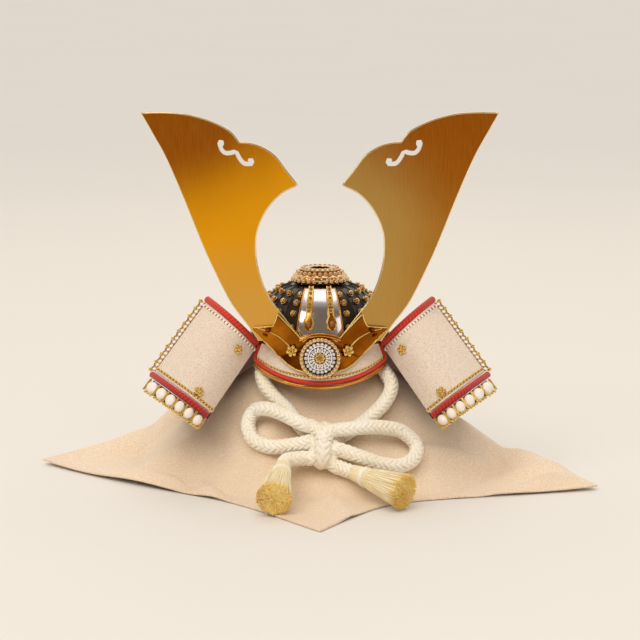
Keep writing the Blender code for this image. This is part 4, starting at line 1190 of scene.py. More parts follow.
def tassel_silk():
    paint = Finish("tassel silk", "tassel_silk", Sheen_Weight=0.3, Sheen_Roughness=0.3)
    spot = paint.pattern()[0]
    thread = paint.node(
        "ShaderNodeTexNoise", None,
        {"Vector": paint.node("ShaderNodeMapping", None, {"Vector": spot, "Scale": (1.0, 0.035, 1.0)}),
         "Scale": 1900.0, "Detail": 3.0}, "Fac",
    )
    cloud = paint.mottle(70.0)
    # Painted shade: deeper gold toward the tassel's end and over its cut end, from the relief layer
    deep = paint.attribute("relief")
    body = paint.blend(thread.between(0.3, 0.7), (0.88, 0.73, 0.42), (0.98, 0.92, 0.70))
    end_painted_shade_gold = paint.blend((cloud + thread).between(0.7, 1.3), (0.72, 0.44, 0.07), (0.97, 0.76, 0.24))
    return paint.show(
        bump=thread, bump_depth=0.00022, strength=0.6,
        Base_Color=paint.blend(deep, body, end_painted_shade_gold), Roughness=0.26 + 0.22 * thread,
    )


def white_lacing():
    paint = Finish("white lacing", "white_lacing", Sheen_Weight=0.3, Sheen_Roughness=0.4)
    across, down = paint.pattern()[1:]
    rib = abs(((across * 5200.0) + (down * 2600.0)).sine())
    fibre = paint.mottle(2300.0, 2.0)
    cloud = paint.mottle(90.0)
    body = paint.blend(cloud, (0.93, 0.88, 0.78), (0.90, 0.80, 0.66))
    return paint.show(
        bump=rib + 0.4 * fibre, bump_depth=0.00014, strength=0.6,
        Base_Color=paint.blend((rib + fibre).between(0.2, 1.1), (0.66, 0.55, 0.42), body),
        Roughness=0.45 + 0.25 * fibre,
    )


def crepe_linen():
    paint = Finish("crepe linen", "linen", Sheen_Weight=0.25, Sheen_Roughness=0.6)
    spot, across, down = paint.pattern()
    warp = (across * 5200.0).sine() * (down * 5200.0).sine()
    crepe = paint.mottle(1100.0, 3.0, spot)
    pebble = paint.cells(900.0, "SMOOTH_F1", spot)
    cloud = paint.mottle(18.0, 3.0)
    tone = paint.blend(cloud.between(0.3, 0.7), (0.92, 0.75, 0.56), (0.96, 0.82, 0.64))
    speck = (crepe * 0.8 + pebble * 0.3 + warp * 0.08).between(0.30, 0.75)
    return paint.show(
        bump=crepe + 0.6 * pebble + 0.2 * warp, bump_depth=0.00035, strength=0.55,
        Base_Color=paint.blend(speck, (0.76, 0.58, 0.41), tone), Roughness=0.76 + 0.15 * crepe,
    )


def maroon_lining():
    paint = Finish("maroon lining", "white_lacing", Sheen_Weight=0.2)
    fibre = paint.mottle(1500.0, 3.0)
    return paint.show(
        bump=fibre, bump_depth=0.0001, strength=0.5,
        Base_Color=paint.blend(fibre, (0.055, 0.008, 0.006), (0.16, 0.025, 0.015)),
        Roughness=0.6 + 0.3 * fibre,
    )


def amber_bead():
    paint = Finish("amber bead", "gold", Coat_Weight=1.0, Coat_Roughness=0.05)
    cloud = paint.mottle(600.0)
    return paint.show(
        Base_Color=paint.blend(cloud, (0.10, 0.030, 0.006), (0.42, 0.17, 0.03)),
        Roughness=0.12 + 0.1 * cloud,
    )


def pearl_white():
    paint = Finish("pearl white", "white_lacing", Coat_Weight=0.5, Coat_Roughness=0.15)
    cloud = paint.mottle(500.0, 3.0)
    return paint.show(
        bump=paint.mottle(1600.0, 2.0), bump_depth=0.00008, strength=0.5,
        Base_Color=paint.blend(cloud.between(0.3, 0.7), (0.90, 0.80, 0.72), (0.93, 0.90, 0.82)),
        Roughness=0.22 + 0.2 * cloud,
    )


def cut_stone():
    paint = Finish("cut stone", "clear_stone", Coat_Weight=1.0, Coat_Roughness=0.02)
    glint = paint.cells(900.0)
    return paint.show(
        Base_Color=paint.blend(glint.between(0.25, 0.75), (0.98, 0.97, 1.0), (0.66, 0.61, 0.68)),
        Metallic=0.12 * glint, Roughness=0.03 + 0.06 * glint,
    )


def turned_wood():
    paint = Finish("turned wood", "wood")
    ring = paint.mottle(60.0, 4.0, paint.place((1.0, 0.12, 1.0)))
    return paint.show(
        bump=ring, bump_depth=0.0001, strength=0.4,
        Base_Color=paint.blend(ring.between(0.3, 0.7), (0.36, 0.20, 0.09), (0.66, 0.45, 0.25)),
        Roughness=0.45 + 0.25 * ring,
    )


GOLD = polished_gold()
SATIN_GOLD = brushed_gold()
BEAD_GOLD = mottled_gold("bead gold", 420.0, (0.66, 0.38, 0.15), (1.0, 0.78, 0.48), 0.10, 0.14)
FIRED_GOLD = fired_gold()
STUD_GOLD = stud_gold()
YELLOW_GOLD = mottled_gold("yellow gold", 500.0, (0.92, 0.56, 0.10), (1.0, 0.84, 0.34), 0.16, 0.12)
SILVER = polished_silver()
LACQUER = lacquer()
LEATHER = grained_leather()
SCARLET = silk_wrapped("scarlet cord", (0.30, 0.008, 0.005), (0.78, 0.040, 0.014))
CRIMSON = silk_wrapped("crimson cord", (0.16, 0.004, 0.004), (0.56, 0.018, 0.014))
CREAM = plaited_cream()
SILK = tassel_silk()
LACING = white_lacing()
LINEN = crepe_linen()
MAROON = maroon_lining()
AMBER = amber_bead()
PEARL = pearl_white()
PEARL_GOLD = mottled_gold("pale gold", 600.0, (0.92, 0.66, 0.32), (1.0, 0.90, 0.62), 0.14, 0.10)
STONE = cut_stone()
WOOD = turned_wood()


# Camera, lights and floor

def build_studio():
    camera = put("camera", bpy.data.cameras.new("camera"))
    camera.data.lens = CAMERA_LENS
    camera.location = CAMERA_PLACE
    look = Vector(CAMERA_TARGET) - Vector(CAMERA_PLACE)
    camera.rotation_euler = look.to_track_quat("-Z", "Y").to_euler()
    bpy.context.scene.camera = camera
    for lamp in LAMPS:
        light = put(lamp["name"], bpy.data.lights.new(lamp["name"], "AREA"))
        light.data.size = lamp["size"]
        light.data.energy = lamp["power"]
        light.data.color = lamp["colour"]
        light.location = lamp["place"]
        aim = Vector(lamp["aim"]) - Vector(lamp["place"])
        light.rotation_euler = aim.to_track_quat("-Z", "Y").to_euler()
    sun = put("window", bpy.data.lights.new("window", "SUN"))
    sun.data.energy = WINDOW_POWER
    sun.data.angle = math.radians(WINDOW_SPREAD)
    sun.data.color = WINDOW_COLOUR
    sun.visible_glossy = False
    sun.rotation_euler = (math.radians(WINDOW_HEIGHT), 0.0, math.radians(WINDOW_TURN))
    world = bpy.data.worlds.new("studio")
    world.use_nodes = True
    tree = world.node_tree
    sky = tree.nodes["Background"]
    spot = tree.nodes.new("ShaderNodeTexCoord")
    split = tree.nodes.new("ShaderNodeSeparateXYZ")
    ramp = tree.nodes.new("ShaderNodeValToRGB")
    shift = tree.nodes.new("ShaderNodeMath")
    shift.operation = "MULTIPLY_ADD"
    shift.inputs[1].default_value = 0.5
    shift.inputs[2].default_value = 0.5
    for stop, tone in zip(ramp.color_ramp.elements, ROOM_TONES):
        stop.position = tone["at"]
        stop.color = (*tone["colour"], 1.0)
    tree.links.new(spot.outputs["Generated"], split.inputs[0])
    tree.links.new(split.outputs["Y"], shift.inputs[0])
    tree.links.new(shift.outputs[0], ramp.inputs["Fac"])
    tree.links.new(ramp.outputs["Color"], sky.inputs["Color"])
    sky.inputs["Strength"].default_value = ROOM_POWER
    bpy.context.scene.world = world
    bpy.context.scene.view_settings.view_transform = "Standard"
    bm = bmesh.new()
    bmesh.ops.create_circle(bm, cap_ends=True, segments=96, radius=FLOOR_RADIUS)
    bmesh.ops.translate(bm, verts=bm.verts, vec=(0, 0, -FLOOR_DROP))
    mesh = bpy.data.meshes.new("floor")
    bm.to_mesh(mesh)
    bm.free()
    floor = put("floor", mesh)
    pale = Finish("pale floor", None, Roughness=0.75)
    cloud = pale.mottle(3.0)
    tone = pale.blend(cloud, (0.80, 0.78, 0.745), (0.83, 0.81, 0.775))
    mesh.materials.append(pale.show(Base_Color=tone)[0])


# Cords

def plait(share, distance):
    """Relief of a round plait: columns of slanted stitches that meet in a herringbone."""
    column = share * PLAIT_COLUMNS
    x, odd = column % 1, int(column) % 2
    slant = PLAIT_SLANT * (x if odd else 1 - x)
    y = (distance / PLAIT_PITCH + slant + 0.5 * odd) % 1
    over, along = math.sin(math.pi * x), math.sin(math.pi * y)
    return (0.84 + 0.16 * over ** 0.5) * along ** 0.55


def twist(pitch, strands):
    """Relief of a cord twisted from a few strands."""
    def relief(share, distance):
        return abs(math.sin(math.pi * strands * (share + distance / pitch))) ** 0.6
    return relief


def cord_piece(name, route, nodes):
    path = smooth_line(route, PLAIT_STEP)
    piece = sweep(name, path, CORD_RADIUS, PLAIT_SIDES, CREAM, plait, PLAIT_DEPTH)
    length = sum((b - a).length for a, b in zip(path, path[1:]))
    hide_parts(*nodes)
    smooth_line(route, CORD_RADIUS)
    return piece


def build_cords():
    centre = Vector(KNOT_CENTRE)
    lean = math.radians(KNOT_LEAN)
    ahead = Vector((0, -math.cos(lean), math.sin(lean)))
    upward = Vector((0, math.sin(lean), math.cos(lean)))
    for word, end in TASSEL_ENDS.items():
        neck = Vector(CORD_ROUTES["cord_tail_" + word][-1])
        build_tassel(word, neck, Vector(end) - neck)

    chin = CORD_ROUTES["chin_cord"]
    inside = (tuple(centre + CHIN_END_LEFT), tuple(centre + CHIN_END_RIGHT))
    cord_piece("chin_cord_plait", (inside[0], *chin, inside[1]), ["chin_cord"])
    for word, other in (("left", "right"), ("right", "left")):
        side = -1 if word == "left" else 1
        start = tuple(centre + Vector((side * LOOP_START.x, LOOP_START.y, LOOP_START.z)))
        middle = tuple(centre + LOOP_CROSSING)
        loop, tail = CORD_ROUTES["bow_loop_" + word], CORD_ROUTES["cord_tail_" + other]
        route = (start, *loop, middle, *tail)
        cord_piece(
            "bow_plait_" + word, route, ["bow_loop_" + word, "cord_tail_" + other],
        )

    ring = []
    high = KNOT_HALF_HEIGHT - CORD_RADIUS
    for n in range(72):
        angle = 2 * math.pi * n / 72
        deep = KNOT_WRAP_DEPTH * math.cos(angle) + KNOT_WRAP_AHEAD
        out = ahead * deep + upward * (high * math.sin(angle))
        ring.append(centre + out + Vector((KNOT_WRAP_SWAY * math.sin(angle), 0, 0)))
    knot = sweep(
        "bow_knot_wrap", smooth_line(ring, PLAIT_STEP, True), KNOT_WRAP_RADIUS, KNOT_SIDES, CREAM,
        plait, PLAIT_DEPTH, closed=True,
    )
    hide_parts("bow_knot")
    for side in (-1, 1):
        under = []
        for n in range(25):
            angle = math.radians(-150 + 200 * n / 24)
            swing = KNOT_UNDER_DEPTH * math.cos(angle)
            under.append(
                centre + Vector((side * (KNOT_UNDER_SPREAD + swing), 0, 0)) + ahead * (swing - 0.0004)
                + upward * (-0.0030 + KNOT_UNDER_HEIGHT * math.sin(angle))
            )
        word = "left" if side < 0 else "right"
        sweep(
            "bow_knot_under_" + word, smooth_line(under, PLAIT_STEP), KNOT_UNDER_RADIUS, KNOT_SIDES,
            CREAM, plait, PLAIT_DEPTH,
        )


def build_tassel(word, neck, reach):
    """A flared bundle of glossy threads, bound at the neck and cut straight at the end."""
    length = TASSEL_LENGTH
    matrix = facing(neck + reach.normalized() * GAP, reach)
    shares = [n / TASSEL_ROWS for n in range(TASSEL_ROWS + 1)]
    last = len(shares) + TASSEL_END_ROWS
    bm = even_grid(TASSEL_COLUMNS, last, 2 * math.pi * TASSEL_END_RADIUS, length)
    # The relief layer holds painted shade: deeper gold toward the tassel's end and over its cut end
    deep = bm.verts.layers.float.new("relief")
    for vert in bm.verts:
        across, down = grid_place(vert)
        row = round(down * last)
        angle = -2 * math.pi * across
        if row < 1:
            radius, along = 0.0, 0.0
        elif row <= len(shares):
            way = shares[row - 1]
            lock = math.cos(2 * math.pi * TASSEL_LOCKS * across + 1.5 * math.sin(5 * way))
            groove = 0.5 + 0.5 * math.cos(2 * math.pi * TASSEL_GROOVES * across)
            ragged = noise.noise(Vector((across * 40, way * 2, len(word))))
            radius = tassel_radius(way) * (1 + 0.030 * lock * way) - TASSEL_GROOVE_DEPTH * groove
            radius += 0.0005 * ragged * way * way
            along = way * length + 0.0006 * ragged * (way > 0.97)
        else:
            inward = (row - len(shares)) / TASSEL_END_ROWS
            radius = TASSEL_END_RADIUS * (1 - inward)
            grain = polar(radius, angle, 0.01) * 900
            along = length - 0.0006 + 0.0010 * noise.noise(grain)
            # Painted shade over the cut end
            vert[deep] = 0.85 + 0.6 * noise.noise(grain * 0.7)
        if row <= len(shares):
            # Painted shade deepening over the last fifth of the side
            vert[deep] = max(0.0, (along / length - 0.80) / 0.20) ** 2 * 0.75
        vert.co = polar(radius, angle, along)
    bmesh.ops.remove_doubles(bm, verts=bm.verts, dist=0.0000015)
    bmesh.ops.recalc_face_normals(bm, faces=bm.faces)
    bmesh.ops.transform(bm, matrix=matrix, verts=bm.verts)
    piece = new_piece("tassel_silk_" + word, bm, SILK, 60)
    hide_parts("tassel_" + word)
    build_tassel_threads(word, matrix)
    return piece


def build_tassel_threads(word, matrix):
    """Loose threads down a tassel's side and out of its end, and the thread that binds its sleeve."""
    bm = bmesh.new()
    for n in range(THREAD_COUNT):
        free = n % 2 == 0
        angle = GOLDEN_ANGLE * n
        pick = 0.5 + 0.5 * math.sin(12.9898 * n)
        start = 0.30 + 0.45 * pick if free else 0.90
        end = 1.0 + 0.045 * (0.5 + 0.5 * math.sin(78.233 * n)) - (0.02 if free else 0.0)
        inside = 1.0 if free else math.sqrt(0.5 + 0.5 * math.sin(37.719 * n)) * 0.96
        line = []
        for k in range(6):
            way = start + (end - start) * k / 5
            radius = tassel_radius(min(1.0, way)) * inside + (0.00012 + 0.0005 * pick * k / 5) * free
            lean = angle + 0.05 * math.sin(3 * way + n)
            line.append(polar(radius, lean, way * TASSEL_LENGTH))
        add_tube(bm, line, THREAD_RADIUS, THREAD_SIDES)
    uv = bm.loops.layers.uv.new("pattern")
    # The relief layer holds painted shade toward the threads' ends
    deep = bm.verts.layers.float.new("relief")
    for vert in bm.verts:
        vert[deep] = min(1.0, max(0.0, (vert.co.z / TASSEL_LENGTH - 0.80) / 0.20) ** 2)
    for face in bm.faces:
        for loop in face.loops:
            spot = loop.vert.co
            loop[uv].uv = (math.atan2(spot.y, spot.x) * TASSEL_END_RADIUS, spot.z)
    bmesh.ops.transform(bm, matrix=matrix, verts=bm.verts)
    new_piece("tassel_threads_" + word, bm, SILK, 60)
    coil = []
    for n in range(BINDING_TURNS * 36 + 1):
        way = TASSEL_SLEEVE + BINDING_HALF_LENGTH * (n / (BINDING_TURNS * 18) - 1)
        turn = 2 * math.pi * n / 36
        radius = tassel_radius(way) + 0.0002
        coil.append(matrix @ polar(radius, turn, way * TASSEL_LENGTH))
    sweep("tassel_binding_" + word, coil, BINDING_RADIUS, 8, CREAM)


def tassel_radius(way):
    """Radius of a tassel at a share of its length from the neck."""
    flare = max(0.0, (way - TASSEL_SLEEVE) / (1 - TASSEL_SLEEVE)) ** 0.9
    sleeve = TASSEL_NECK_RADIUS * (0.9 + min(0.1, way))
    return sleeve * (1 - flare) + TASSEL_END_RADIUS * flare


# Stand and cloth

def cloth_lines():
    """Rings of the cloth from its middle to its hem, each a function of the turn."""
    rows = []
    for n in range(9):
        radius = n / 8 * (HEAD_RADIUS + CLOTH_HEAD_GAP)
        rows.append(lambda turn, r=radius: around(r, r, turn, head_under(r)))
    for radius, z in (
        (HEAD_RADIUS + CLOTH_HEAD_GAP, HEAD_FOOT_Z),
        (NECK_RADIUS + CLOTH_HEAD_GAP, HEAD_FOOT_Z - CLOTH_TUCK),
        (NECK_RADIUS + CLOTH_HEAD_GAP, CLOTH_FLARE_Z + CLOTH_NECK_RISE),
        (NECK_RADIUS + CLOTH_FLARE_GAP, CLOTH_FLARE_Z + CLOTH_FLARE_RISE),
    ):
        rows.append(lambda turn, r=radius, h=z: around(r, r, turn, h))
    for n in range(CLOTH_ROWS + 1):
        rows.append(lambda turn, s=n / CLOTH_ROWS: wrinkled(turn, s))
    return rows


def wrinkled(turn, share):
    """The draped skirt with the small creases that the hand left in it."""
    spot = skirt_under(turn, share)
    way = min(1.0, share * 4) * min(1.0, (1 - share) * 6 + 0.15)
    fine = noise.noise(Vector((spot.x * 28, spot.y * 28, 1.7)))
    crease = abs(noise.noise(Vector((spot.x * 11 + 4.0, spot.y * 11, 6.1))))
    lift = way * (0.0011 * fine + 0.0024 * max(0.0, 0.25 - crease))
    for row in CLOTH_CREASES:
        start, end = Vector((*row["start"], 0)), Vector((*row["end"], 0))
        run = end - start
        along = (Vector((spot.x, spot.y, 0)) - start).dot(run) / run.length_squared
        nearest = start + run * min(1.0, max(0.0, along))
        off = math.hypot(spot.x - nearest.x, spot.y - nearest.y) / row["width"]
        lift += row["lift"] * math.exp(-off * off) * min(1.0, 0.25 + (1 - share) * 9)
    radius = math.hypot(spot.x, spot.y)
    shoulder = math.exp(-(((radius - SHOULDER_RADIUS) / SHOULDER_WIDTH) ** 2)) * min(1.0, share * 12)
    lift += SHOULDER_LIFT * shoulder * math.sin(math.radians(turn)) ** 2
    spot.z = max(0.0, spot.z + max(-0.0004, lift))
    return spot


def build_cloth():
    rows = cloth_lines()
    last = len(rows) - 1
    cached = []
    for column in range(CLOTH_COLUMNS):
        turn = draped_turn(360 * column / CLOTH_COLUMNS)
        line = [row(turn) for row in rows]
        gone, flat = 0.0, []
        for n, spot in enumerate(line):
            gone += (spot - line[n - 1]).length if n else 0.0
            flat.append(gone)
        cached.append((line, flat))

    def place(across, along):
        return cached[round(across * CLOTH_COLUMNS) % CLOTH_COLUMNS][0][round(along * last)]

    cloth = lay(
        "display_cloth_crepe", place, CLOTH_COLUMNS, last, LINEN, CLOTH_THICKNESS, -1.0,
        CLOTH_EDGE_ROUNDING,
    )
    uv = cloth.data.uv_layers["pattern"]
    for spot in uv.data:
        x, y = spot.uv
        angle = 2 * math.pi * x
        reach = cached[round(x * CLOTH_COLUMNS) % CLOTH_COLUMNS][1][round(y * last)]
        spot.uv = (reach * math.sin(angle), -reach * math.cos(angle))
    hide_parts("display_cloth")


# Bowl and what is on it

def outward_of(point, step=0.001):
    """Direction out of a surface, from point(out)."""
    return (point(step) - point(0.0)).normalized()


def build_bowl():
    hole = math.degrees(math.acos((BOWL_HOLE_RADIUS / BOWL_HALF_WIDTH) ** (BOWL_POWER / 2)))

    def shell(across, along):
        turn, rise = 360 * across, hole * along
        ridge = abs(math.cos(math.pi * across * RIB_COUNT)) ** 10
        bare = min(turn, 360 - turn) < FRONT_TURN or not RIDGE_LOW_RISE < rise < RIB_HIGH_RISE
        return bowl_point(turn, rise, 0.0 if bare else RIDGE_HEIGHT * ridge)

    bowl = lay("bowl_lacquer", shell, RIB_COUNT * 12, 34, LACQUER, BOWL_WALL, -1.0)
    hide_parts("bowl")
    ribs = bmesh.new()
    for n in range(RIB_COUNT):
        turn = n * 360 / RIB_COUNT
        if min(turn, 360 - turn) < FRONT_TURN:
            continue
        climb = RIB_HIGH_RISE - RIB_LOW_RISE
        line = [bowl_point(turn, RIB_LOW_RISE + climb * k / 16, RIB_LIFT) for k in range(17)]
        add_tube(ribs, line, RIB_RADIUS, 8)
    new_piece("bowl_ribs", ribs, LACQUER, 60)
    studs, collars = [], []
    for column in range(RIB_COUNT):
        turn = (column + 0.5) * 360 / RIB_COUNT
        if min(turn, 360 - turn) < FRONT_TURN:
            continue
        for rise in STUD_RISES:
            seat = bowl_point(turn, rise, STUD_SEAT)
            out = outward_of(lambda o: bowl_point(turn, rise, o))
            studs.append((seat + out * STUD_LIFT, out))
            collars.append((seat, out))
    beads("bowl_studs", studs, STUD_RADIUS, STUD_GOLD, 0.95, 16, 12)
    beads("bowl_stud_collars", collars, COLLAR_RADIUS, STUD_GOLD, 0.25, 16, 6)


def add_tube(bm, line, radius, sides):
    """A plain round wire in an open mesh, made by extruding a ring along the line."""
    frames = path_frames(line)
    ring = None
    for spot, (ahead, side, other) in zip(line, frames):
        basis = Matrix((side, other, ahead)).transposed().to_4x4()
        place = Matrix.Translation(spot) @ basis
        made = bmesh.ops.create_circle(
            bm, cap_ends=ring is None, segments=sides, radius=radius, matrix=place,
        )
        edges = list({e for v in made["verts"] for e in v.link_edges})
        if ring:
            bmesh.ops.bridge_loops(bm, edges=ring + edges)
        ring = edges
    bmesh.ops.holes_fill(bm, edges=[e for e in ring if e.is_boundary])
    bmesh.ops.recalc_face_normals(bm, faces=bm.faces)


def wire(name, line, radius, finish, sides=10):
    bm = bmesh.new()
    add_tube(bm, line, radius, sides)
    return new_piece(name, bm, finish, 60)


def build_waist():
    def band(across, along):
        out = GAP + BAND_WALL / 2
        z = BOWL_RIM_Z + BAND_LIFT + BAND_HEIGHT * along
        return around(BOWL_HALF_WIDTH + out, BOWL_HALF_LENGTH + out, 360 * across, z)

    piece = lay("waist_band_gold", band, 160, 4, GOLD, BAND_WALL, 0.0, 0.0002)
    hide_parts("waist_band")
    row = []
    for n in range(BAND_BEAD_COUNT):
        spot = band(n / BAND_BEAD_COUNT, 1.0) + Vector((0, 0, GAP))
        row.append((spot, Vector((spot.x, spot.y, 0)).normalized()))
    beads("waist_beads", row, BAND_BEAD_RADIUS, BEAD_GOLD)


def build_front_plate():
    climb = PLATE_TOP_RISE - PLATE_FOOT_RISE

    def plate(across, along):
        half = PLATE_FOOT_HALF_WIDTH + (PLATE_TOP_HALF_WIDTH - PLATE_FOOT_HALF_WIDTH) * along
        rise = PLATE_FOOT_RISE + climb * along
        return plate_point((2 * across - 1) * half, rise, 1.3 * GAP + PLATE_WALL / 2)

    piece = lay("front_plate_silver", plate, 24, 28, SILVER, PLATE_WALL, 0.0, 0.0002)
    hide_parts("front_plate")
    for side, word in ((-1, "left"), (1, "right")):
        edge = [plate(0.5 + side * 0.5, n / 24) - Vector((0, GAP, 0)) for n in range(25)]
        wire("front_plate_edge_" + word, edge, PLATE_EDGE_RADIUS, GOLD)

        def strip(across, along, out=0.0, side=side):
            width = STRIP_WIDTHS[-1]["width"]
            for a, b in zip(STRIP_WIDTHS, STRIP_WIDTHS[1:]):
                if a["along"] <= along <= b["along"]:
                    t = (along - a["along"]) / (b["along"] - a["along"])
                    t = t * t * (3 - 2 * t)
                    width = a["width"] + (b["width"] - a["width"]) * t
                    break
            rise = PLATE_FOOT_RISE + 5 + along * (climb - 6)
            middle = STRIP_FOOT_X + (STRIP_TOP_X - STRIP_FOOT_X) * along
            x = side * middle + (2 * across - 1) * width * STRIP_TIP_RADIUS
            return plate_point(x, rise, 2.8 * GAP + PLATE_WALL + STRIP_WALL / 2 + out)

        piece = lay("front_strip_gold_" + word, strip, 8, 44, GOLD, STRIP_WALL, 0.0, 0.0002)
        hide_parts("front_strip_" + word)
        rims = bmesh.new()
        for across in (0.04, 0.96):
            line = [strip(across, n / 40, STRIP_WALL / 2) for n in range(1, 41)]
            add_tube(rims, line, STRIP_RIM_RADIUS, 8)
        new_piece("front_strip_rims_" + word, rims, YELLOW_GOLD, 60)
        drops, seats = [], []
        for along in STRIP_DROP_PLACES:
            seat = strip(0.5, along, STRIP_WALL / 2)
            out = outward_of(lambda o: strip(0.5, along, o))
            drops.append((seat + out * GAP, out))
            seats.append((seat, out))
        beads("front_strip_drops_" + word, drops, STRIP_DROP_RADIUS, AMBER, 0.9, 12, 8)
        beads("front_strip_seats_" + word, seats, STRIP_SEAT_RADIUS, YELLOW_GOLD, 0.35, 12, 6)
        tip = bmesh.new()
        seat = strip(0.5, STRIP_TIP_PLACE, STRIP_WALL / 2 + 0.0001)
        out = outward_of(lambda o: strip(0.5, STRIP_TIP_PLACE, o))
        ball(tip, facing(seat, out), STRIP_STONE_RADIUS, 16, 10, (0.85, 1.25, 0.7))
        new_piece("front_strip_tip_" + word, tip, AMBER, 180)


def build_crown():
    """The beaded ring round the crown's hole, its lower edge cut into petals."""
    def seat(radius):
        return BOWL_RIM_Z + oval_height(radius, BOWL_HALF_LENGTH, BOWL_HEIGHT) + 1.3 * GAP

    r, foot = RING_RADIUS, seat(BOWL_HOLE_RADIUS)
    top = foot + RING_HEIGHT
    profile = (
        (0.37 * r, top - 0.0008),
        (0.39 * r, top - 0.0002),
        (0.44 * r, top),
        (0.62 * r, top),
        (0.68 * r, top - 0.0003),
        (0.71 * r, top - 0.0009),
        (0.69 * r, top - 0.0018),
        (0.68 * r, top - 0.0026),
        (0.75 * r, top - 0.0029),
        (0.86 * r, top - 0.0034),
        (0.93 * r, top - 0.0040),
        (0.985 * r, top - 0.0048),
        (r, top - 0.0058),
        (0.985 * r, top - 0.0068),
        (0.955 * r, foot + 0.0004),
        (0.95 * r, foot - 0.0002),
        (0.90 * r, seat(0.90 * r)),
        (0.50 * r, foot),
        (0.37 * r, foot),
    )

    def petals(spot):
        radius = math.hypot(spot.x, spot.y)
        if radius < 0.74 * r:
            return spot
        wave = abs(math.sin(RING_PETALS / 2 * math.atan2(spot.y, spot.x)))
        grow = 1 + 0.030 * (wave - 0.7)
        return Vector((spot.x * grow, spot.y * grow, spot.z + 0.0004 * (wave - 0.6)))

    piece = turned("crown_ring_gold", profile, BEAD_GOLD, 128, Matrix.Identity(4), wave=petals)
    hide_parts("crown_ring")
    # Painted shade: a black lacquered cup lining the crown's hole stands in for the shade inside it
    lining = (
        (0.0, foot + 0.0008),
        (0.355 * r, foot + 0.0008),
        (0.362 * r, top - 0.0012),
        (0.368 * r, top - 0.0006),
        (0.368 * r, foot + 0.0002),
        (0.0, foot + 0.0002),
    )
    turned("crown_hole_painted_shade", lining, LACQUER, 48, Matrix.Identity(4))
    for name, share, z, count, radius in (
        ("crown_beads_top", 0.63, top - 0.0005, 22, 0.00115),
        ("crown_beads_middle", 0.80, top - 0.0027, 26, 0.00135),
        ("crown_beads_foot", 0.985, foot + 0.0011, 30, 0.00140),
    ):
        row = []
        for n in range(count):
            spot = around(share * r, share * r, 360 * n / count, z)
            row.append((spot, Vector((spot.x, spot.y, 0.01)).normalized()))
        beads(name, row, radius, BEAD_GOLD, 1.0, 10, 7)


# Visor

def build_visor():
    def leather(across, along):
        return visor_point(VISOR_TURN * (2 * across - 1), along)

    piece = lay("visor_leather", leather, 72, 12, LEATHER, VISOR_WALL, 0.0, 0.0003)
    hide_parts("visor")
    red = GAP + VISOR_PIPING_RADIUS
    gold = red + VISOR_PIPING_RADIUS + GAP + VISOR_RIM_RADIUS
    beside = math.degrees((4 * GAP + VISOR_PIPING_RADIUS) / VISOR_HALF_WIDTH)
    turns = [VISOR_TURN * (n / 16 - 1) for n in range(33)]
    ends = (0.15, 0.5, 0.85)
    piping = [visor_point(-VISOR_TURN - beside, way) for way in ends]
    piping += [visor_edge(-VISOR_TURN - 0.8 * beside, 0.5 * red)]
    piping += [visor_edge(turn, red) for turn in turns]
    piping += [visor_edge(VISOR_TURN + 0.8 * beside, 0.5 * red)]
    piping += [visor_point(VISOR_TURN + beside, way) for way in reversed(ends)]
    cord = sweep(
        "visor_piping_cord", smooth_line(piping, 0.0004), VISOR_PIPING_RADIUS * 1.12, 16, SCARLET,
        twist(0.0042, 3), 0.00028,
    )
    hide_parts("visor_piping")
    rim = wire(
        "visor_rim_gold", smooth_line([visor_edge(turn, gold) for turn in turns], 0.0010),
        VISOR_RIM_RADIUS, GOLD, 16,
    )
    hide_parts("visor_rim")
    pale, dark = [], []
    for n in range(81):
        turn = VISOR_TURN * 0.985 * (n / 40 - 1)
        spot = visor_point(turn, VISOR_TRIM_PLACE)
        out = around(1, 1, turn, 0)
        out.z = -0.7
        out.normalize()
        (pale if n % 2 else dark).append((spot + out * (VISOR_WALL / 2), out))
    beads("visor_rim_beads", pale, VISOR_BEAD_RADIUS, YELLOW_GOLD, 0.8)
    beads("visor_rim_stitches", dark, VISOR_STITCH_RADIUS, AMBER, 0.8)


# Neck guard

def build_neck_guard():
    run = (guard_point(0.5, 1) - guard_point(0.5, 0)).length
    lap = LAME_LAP / run
    step = (1 - lap) / LAME_COUNT
    for lame in range(LAME_COUNT):
        start = lame * step
        cords = LACING_CORDS + LACING_MORE_CORDS * lame

        def lacing(across, along, start=start, cords=cords):
            lift = LAME_LIFT * (1 - along)
            bulge = LACING_BULGE * abs(math.sin(math.pi * cords * across)) ** 0.7
            return guard_point(across, start + along * (step + lap), lift + bulge)

        piece = lay(
            f"neck_lame_lacing_{lame + 1}", lacing, cords * 7, 6, LACING, LAME_WALL, 0.0, 0.0,
            (0.24 + 0.07 * lame, 0.0125),
        )
        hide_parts(f"neck_lame_{lame + 1}")
        rims = [("top", 0.02, LAME_TOP_RIM_RADIUS)]
        if lame == LAME_COUNT - 1:
            rims.append(("hem", 0.985, LAME_HEM_RIM_RADIUS))
        for word, along, radius in rims:
            lift = LAME_LIFT * (1 - along) + LAME_WALL / 2 + 0.0004
            line = [guard_point(n / 120, start + along * (step + lap), lift) for n in range(121)]
            wire(f"neck_lame_{word}_edge_{lame + 1}", line, radius, GOLD, 8)

    def lining(across, along):
        return guard_point(across, 0.02 + 1.03 * along, -LAME_WALL / 2 - 0.0005)

    lay("neck_guard_lining", lining, 96, 12, MAROON, 0.0003)


# Wings

def wing_side(side, down, back, out=0.0):
    """A point on a wing and its outward direction."""
    normal = wing_normal(down, back)
    return wing_point(side, down, back, out), Vector((normal.x * -side, normal.y, normal.z))


